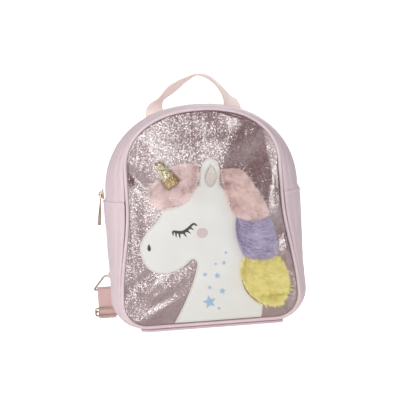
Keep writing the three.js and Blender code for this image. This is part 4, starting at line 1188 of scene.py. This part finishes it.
for name, tuft in TUFTS.items():
    rng = np.random.default_rng(tuft["seed"])

    def parted(points, v):
        """How far the pile parts at points: in its own partings, and in broken wavy lines along the comb."""
        x, z = points[:, 0], points[:, 2]
        flat = points * (1, 0, 1)
        line = tuft["lines"] * v + 0.9 * waves(flat * (0.6, 1, 1), 9, tuft["seed"] + 7)
        broken = np.clip(0.7 + 1.3 * waves(flat * (0.5, 1, 1.6), 12, tuft["seed"] + 8), 0, 1)
        lined = broken * (tuft["lines"] > 0) * hump(line - np.rint(line), 0.22)
        return creased(tuft["partings"], x, z) + lined

    def pad_place(u, v):
        """Once round the pad at each row: over its crowned top from root to tip, and back underneath."""
        s, t = 0.5 - 0.5 * np.cos(math.tau * u), 0.5 - 0.5 * np.cos(math.pi * v)
        x, z = (quadratic(tuft["root"], t) * (1 - s)[:, None] + quadratic(tuft["tip"], t) * s[:, None]).T
        z = z - (tuft["bow"][0] * (1 - t) + tuft["bow"][1] * t) * 4 * s * (1 - s)
        crown = np.abs(np.sin(math.tau * u)) ** 0.65 * np.sin(math.pi * v) ** 0.6
        flat = np.column_stack([x, 0 * x, z])
        uneven = (1 + 0.42 * waves(flat, 15, tuft["seed"] + 3)) * (1 - 0.4 * parted(flat, v))
        lift = np.where(u < 0.5, tuft["height"] * crown * uneven, 0)
        far, room = horn_room(x, z)
        lift = np.maximum(np.minimum(lift, room - 0.9 + 1.3 * np.maximum(far - 1, 0)), 0)
        return np.column_stack([x, carrier_y(x, z) - 0.1 - lift, z])

    pad = edited(cloth(name + "_pad", PAD_ACROSS, PAD_DOWN, pad_place), weld, outward)
    pad.data.uv_layers[0].data.foreach_set("uv", np.tile([0.4, 0.3], len(pad.data.loops)))

    us, vs = np.meshgrid(np.linspace(0.01, 0.49, PAD_ACROSS + 1), np.linspace(0.01, 0.99, PAD_DOWN + 1),
                         indexing="ij")
    sheet = pad_place(us.ravel(), vs.ravel()).reshape(*us.shape, 3)
    across, down = np.gradient(sheet, axis=0), np.gradient(sheet, axis=1)
    facing = np.cross(across, down)
    area = np.linalg.norm(facing, axis=2)
    facing *= -np.sign(facing[:, :, 1:2]) / np.maximum(area, 1e-9)[:, :, None]
    area = (area[:-1, :-1] / area[:-1, :-1].sum()).ravel()
    rim = np.maximum.outer(*(np.abs(np.linspace(-1, 1, steps)) for steps in (PAD_ACROSS, PAD_DOWN))).ravel()
    at_rim = (area + 0.3 / area.size) * (rim > 0.93)
    cell = np.concatenate([rng.choice(area.size, PILE_HAIRS, p=area),
                           rng.choice(area.size, FRINGE_HAIRS, p=at_rim / at_rim.sum())])
    count = len(cell)
    loose = np.arange(count) >= PILE_HAIRS
    row, column = cell // PAD_DOWN, cell % PAD_DOWN
    shift_u, shift_v = rng.random(count), rng.random(count)

    def at(field):
        """A field of the sheet at each hair, between the corners of its cell."""
        near = field[row, column] * (1 - shift_u)[:, None] + field[row + 1, column] * shift_u[:, None]
        far = field[row, column + 1] * (1 - shift_u)[:, None] + field[row + 1, column + 1] * shift_u[:, None]
        return near * (1 - shift_v)[:, None] + far * shift_v[:, None]

    base, normal, comb, fall = at(sheet), unit(at(facing)), unit(at(across)), unit(at(down))
    share_u, share_v = (row + shift_u) / (PAD_ACROSS / 2) - 1, (column + shift_v) / (PAD_DOWN / 2) - 1
    away = comb * (share_u ** 5)[:, None] + fall * (share_v ** 5)[:, None]
    sway = np.column_stack([waves(base, 10, tuft["seed"] + k) for k in range(2)]) * tuft["sway"] * 1.7
    part = parted(base, (column + shift_v) / PAD_DOWN)
    hang = tuft["drape"] * np.clip((share_v - 0.5) / 0.5, 0, 1) * hump(share_u, 0.6)
    scatter = rng.normal(0, 1, (count, 3))
    lean = comb * (0.8 + sway[:, :1]) + fall * (sway[:, 1:] + hang[:, None]) + normal * 0.75
    lean += tuft["stray"] * scatter
    lean[loose] = (1.2 * away + 0.3 * comb + (0.35 + 0.4 * hang)[:, None] * normal + 0.35 * scatter)[loose]
    lean = unit(lean)
    length = tuft["hair"] * rng.uniform(0.55, 1.1, count) * (1 - 0.6 * np.minimum(part, 1))
    length *= 1 - 0.5 * np.maximum(np.abs(share_u), np.abs(share_v)) ** 6
    at_seam = (share_u < -0.8) | (share_v < -0.8)
    loose_length = np.minimum(0.3 + rng.exponential(0.4, count), 1.0)
    loose_length *= np.where(at_seam, 0.35, 1 + 0.5 * hang)
    loose_length = np.maximum(loose_length, creased(tuft["streamers"], base[:, 0], base[:, 2]))
    length[loose] = tuft["fringe"] * loose_length[loose]
    tip = base + lean * length[:, None]

    def nearest_of(heads):
        """Of these hairs, the one whose root is nearest to each hair's."""
        apart = np.linalg.norm(base[:, None, ::2] - base[heads][None, :, ::2], axis=2)
        return heads[np.argmin(apart, axis=1)]

    mine = nearest_of(rng.choice(PILE_HAIRS, LOCKS, replace=False))
    wisp = nearest_of(PILE_HAIRS + rng.choice(FRINGE_HAIRS, WISPS, replace=False))
    drawn = (tip[wisp] + 0.75 * (base - base[wisp]) - base) * rng.uniform(0.55, 1.15, count)[:, None]
    tip += tuft["gather"] * (tip[mine] - tip) * np.array([1, 0.5, 1])
    tip = np.where(loose[:, None], base + drawn + 0.7 * scatter, tip)
    middle = base + (tip - base) * 0.5 + normal * (0.1 * length)[:, None]
    tip[:, 2] -= 0.1 * length
    for line, over in ((middle, 0.2), (tip, 0.25)):
        line[:, 1] = np.minimum(line[:, 1], carrier_y(line[:, 0], line[:, 2]) - over)
    kept = np.all([horn_room(line[:, 0], line[:, 2])[0] > 0.6 for line in (base, middle, tip)], axis=0)

    side = unit(np.cross(tip - base, normal + 0.5 * rng.normal(0, 1, (count, 3))))
    out = unit(np.cross(side, tip - base))
    wide = HAIR_HALF * rng.uniform(0.7, 1.2, count) * np.where(loose, 0.5, 1)
    lock_shade = rng.uniform(-0.14, 0.14, count)[mine] + rng.uniform(-0.16, 0.16, count)
    shade = 0.55 + tuft["blotch"] * waves(base, 13, tuft["seed"] + 5) + lock_shade
    # Painted shade: hairs are made darker where the pile parts, in its partings and wavy lines.
    shade -= parted(base + lean * (0.6 * length)[:, None], (column + shift_v) / PAD_DOWN)
    # Painted light: fringe hairs are made lighter than the pile, most on the root side over the head, as a
    # halo.
    shade = np.clip(np.where(loose, 0.76 + 0.3 * (shade - 0.5) - 0.2 * share_u, shade), 0, 1)
    rings = [line[kept] + wide[kept][:, None] * (side[kept] * math.cos(a) + out[kept] * math.sin(a))
             for line in (base, middle) for a in (0.0, math.tau / 3, 2 * math.tau / 3)]
    hairs = kept.sum()
    faces = (np.arange(hairs)[:, None, None] * len(HAIR_ALONG) + HAIR_FACES).reshape(-1, 3)
    mesh = bpy.data.meshes.new(name + "_hairs")
    mesh.from_pydata((np.stack([*rings, tip[kept]], 1).reshape(-1, 3) * MM).tolist(), [], faces.tolist())
    own_map = np.column_stack([np.repeat(shade[kept], len(HAIR_ALONG)), np.tile(HAIR_ALONG, hairs)])
    mesh.uv_layers.new(name="UVMap").data.foreach_set("uv", own_map[faces.ravel()].ravel())
    pile = join(name + "_pile", pad, add_mesh(mesh.name, mesh))
    fit(pile, plush_finish(name + "_pile", tuft["root_colour"], tuft["tip_colour"]), tuft["slot"], name)

# Thread: rows of lockstitch on the seams, the sewn ends of the webbing, and along the edge of the head.
# A stitch is a small spindle of twisted thread, and each sewn end has a box of stitches with a cross in it.
STITCH, STITCH_GAP, THREAD, PROUD = 2.3, 1.0, 0.3, 0.05
SEAM_IN, SEAM_PROUD, BOX_HALF, TAB_BOX_HALF = 3.2, 0.12, 7.5, 3.2


def stitches(name, lines, material, slot):
    """Rows of stitches along lines, each a line of points and the ways up from the cloth."""
    places, along, up = [], [], []
    for points, tops in lines:
        spots, rows = along_line(points, STITCH + STITCH_GAP)
        nearest_row = np.clip(np.rint(rows).astype(int), 0, len(points) - 1)
        places.append(spots)
        along.append(np.gradient(points, axis=0)[nearest_row])
        up.append(tops[nearest_row])
    model = start(bpy.ops.mesh.primitive_uv_sphere_add, "stitch", segments=6, ring_count=5, radius=1)
    put_points(model, points_of(model)[:, [2, 0, 1]] * (STITCH / 2, THREAD, THREAD) * MM)
    fit(lay_copies(name, model, np.vstack(places), np.vstack(along), np.vstack(up)), material, slot)


def thread_finish(name, light, deep):
    material, tree = new_finish(name, Roughness=0.6, Sheen_Weight=0.2)
    twist = node(tree, "TexWave", {"Vector": place_in(tree), "Scale": 900.0, "Distortion": 2.0}).outputs[1]
    wire(tree, Base_Color=blend(tree, twist, deep, light))
    return material


zip_seam = np.linspace(SIDE_TO + 0.1, LEFT_SIDE - 0.1, 400)
rows = [skin(zip_seam, ZIP_DEPTH + side * (ZIP_HALF + SEAM_IN), SEAM_PROUD) for side in (-1, 1)]
cross_seam = np.linspace(FRONT_EDGE + 3, BACK_EDGE - 3, 60)
rows += [skin(column, cross_seam, LOWER_PROUD + SEAM_PROUD) for column in (SIDE_TO - 0.13, LEFT_SIDE + 0.13)]
pink_thread = thread_finish("pink_thread", paint(240, 224, 228), paint(214, 190, 196))
stitches("shell_thread", rows, pink_thread, "leatherette")


def sewn_box(x, half, low, high, face):
    """Lines of a sewn box with a cross in it, on the face of webbing that lies on the back."""
    corners = np.array([(x - half, low), (x + half, low), (x + half, high), (x - half, high)])
    lines = []
    for a, b in ((0, 1), (1, 2), (2, 3), (3, 0), (0, 2), (1, 3)):
        flat = corners[a] + (corners[b] - corners[a]) * np.linspace(0, 1, 12)[:, None]
        points = np.column_stack([flat[:, 0], [face(z) for z in flat[:, 1]], flat[:, 1]])
        lines.append((points, np.tile([0, 1.0, 0], (12, 1))))
    return lines


rows = []
for x in (HANDLE_ROUTE[0, 0], HANDLE_ROUTE[-1, 0]):
    rows += sewn_box(x, BOX_HALF, 226, 235,
                     lambda z: np.interp(z, HANDLE_ROUTE[:2, 2], HANDLE_ROUTE[:2, 1]) + WEBBING / 2 + PROUD)
for side in (-1, 1):
    strap_x, tab_x = side * STRAP_ANCHOR, side * TAB_AT
    rows += sewn_box(strap_x, BOX_HALF, 202, 214,
                     lambda z: over_back(strap_x, z, STRAP_WIDTH) + GAP + WEBBING + PROUD)
    rows += sewn_box(tab_x, TAB_BOX_HALF, 75, 81,
                     lambda z: over_back(tab_x, z, TAB_WIDTH) + 2 * (GAP + TAB_THICK) + PROUD)
peach_thread = thread_finish("peach_thread", paint(248, 228, 222), paint(216, 184, 178))
stitches("webbing_thread", rows, peach_thread, "webbing")

edge_way = np.roll(head_edge, -1, 0) - head_edge
inward = unit(np.column_stack([edge_way[:, 1], -edge_way[:, 0]]))
sewn_line = (head_edge + np.roll(head_edge, -1, 0)) / 2 + inward * HEAD_SEAM
x, z = sewn_line[nearest(head_edge, *sewn_line.T)[1] > HEAD_SEAM - 0.1].T
sewn_points = np.column_stack([x, front_y(x, z) - head_lift(x, z) - PROUD, z])
white_thread = thread_finish("white_thread", paint(244, 243, 240), paint(216, 213, 208))
sewn_tops = np.tile([0, -1.0, 0], (len(x), 1))
stitches("head_thread", [(sewn_points, sewn_tops)], white_thread, "white_leatherette")

# Size: the box round everything that is shown, leaving out the sweep.
low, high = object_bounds()
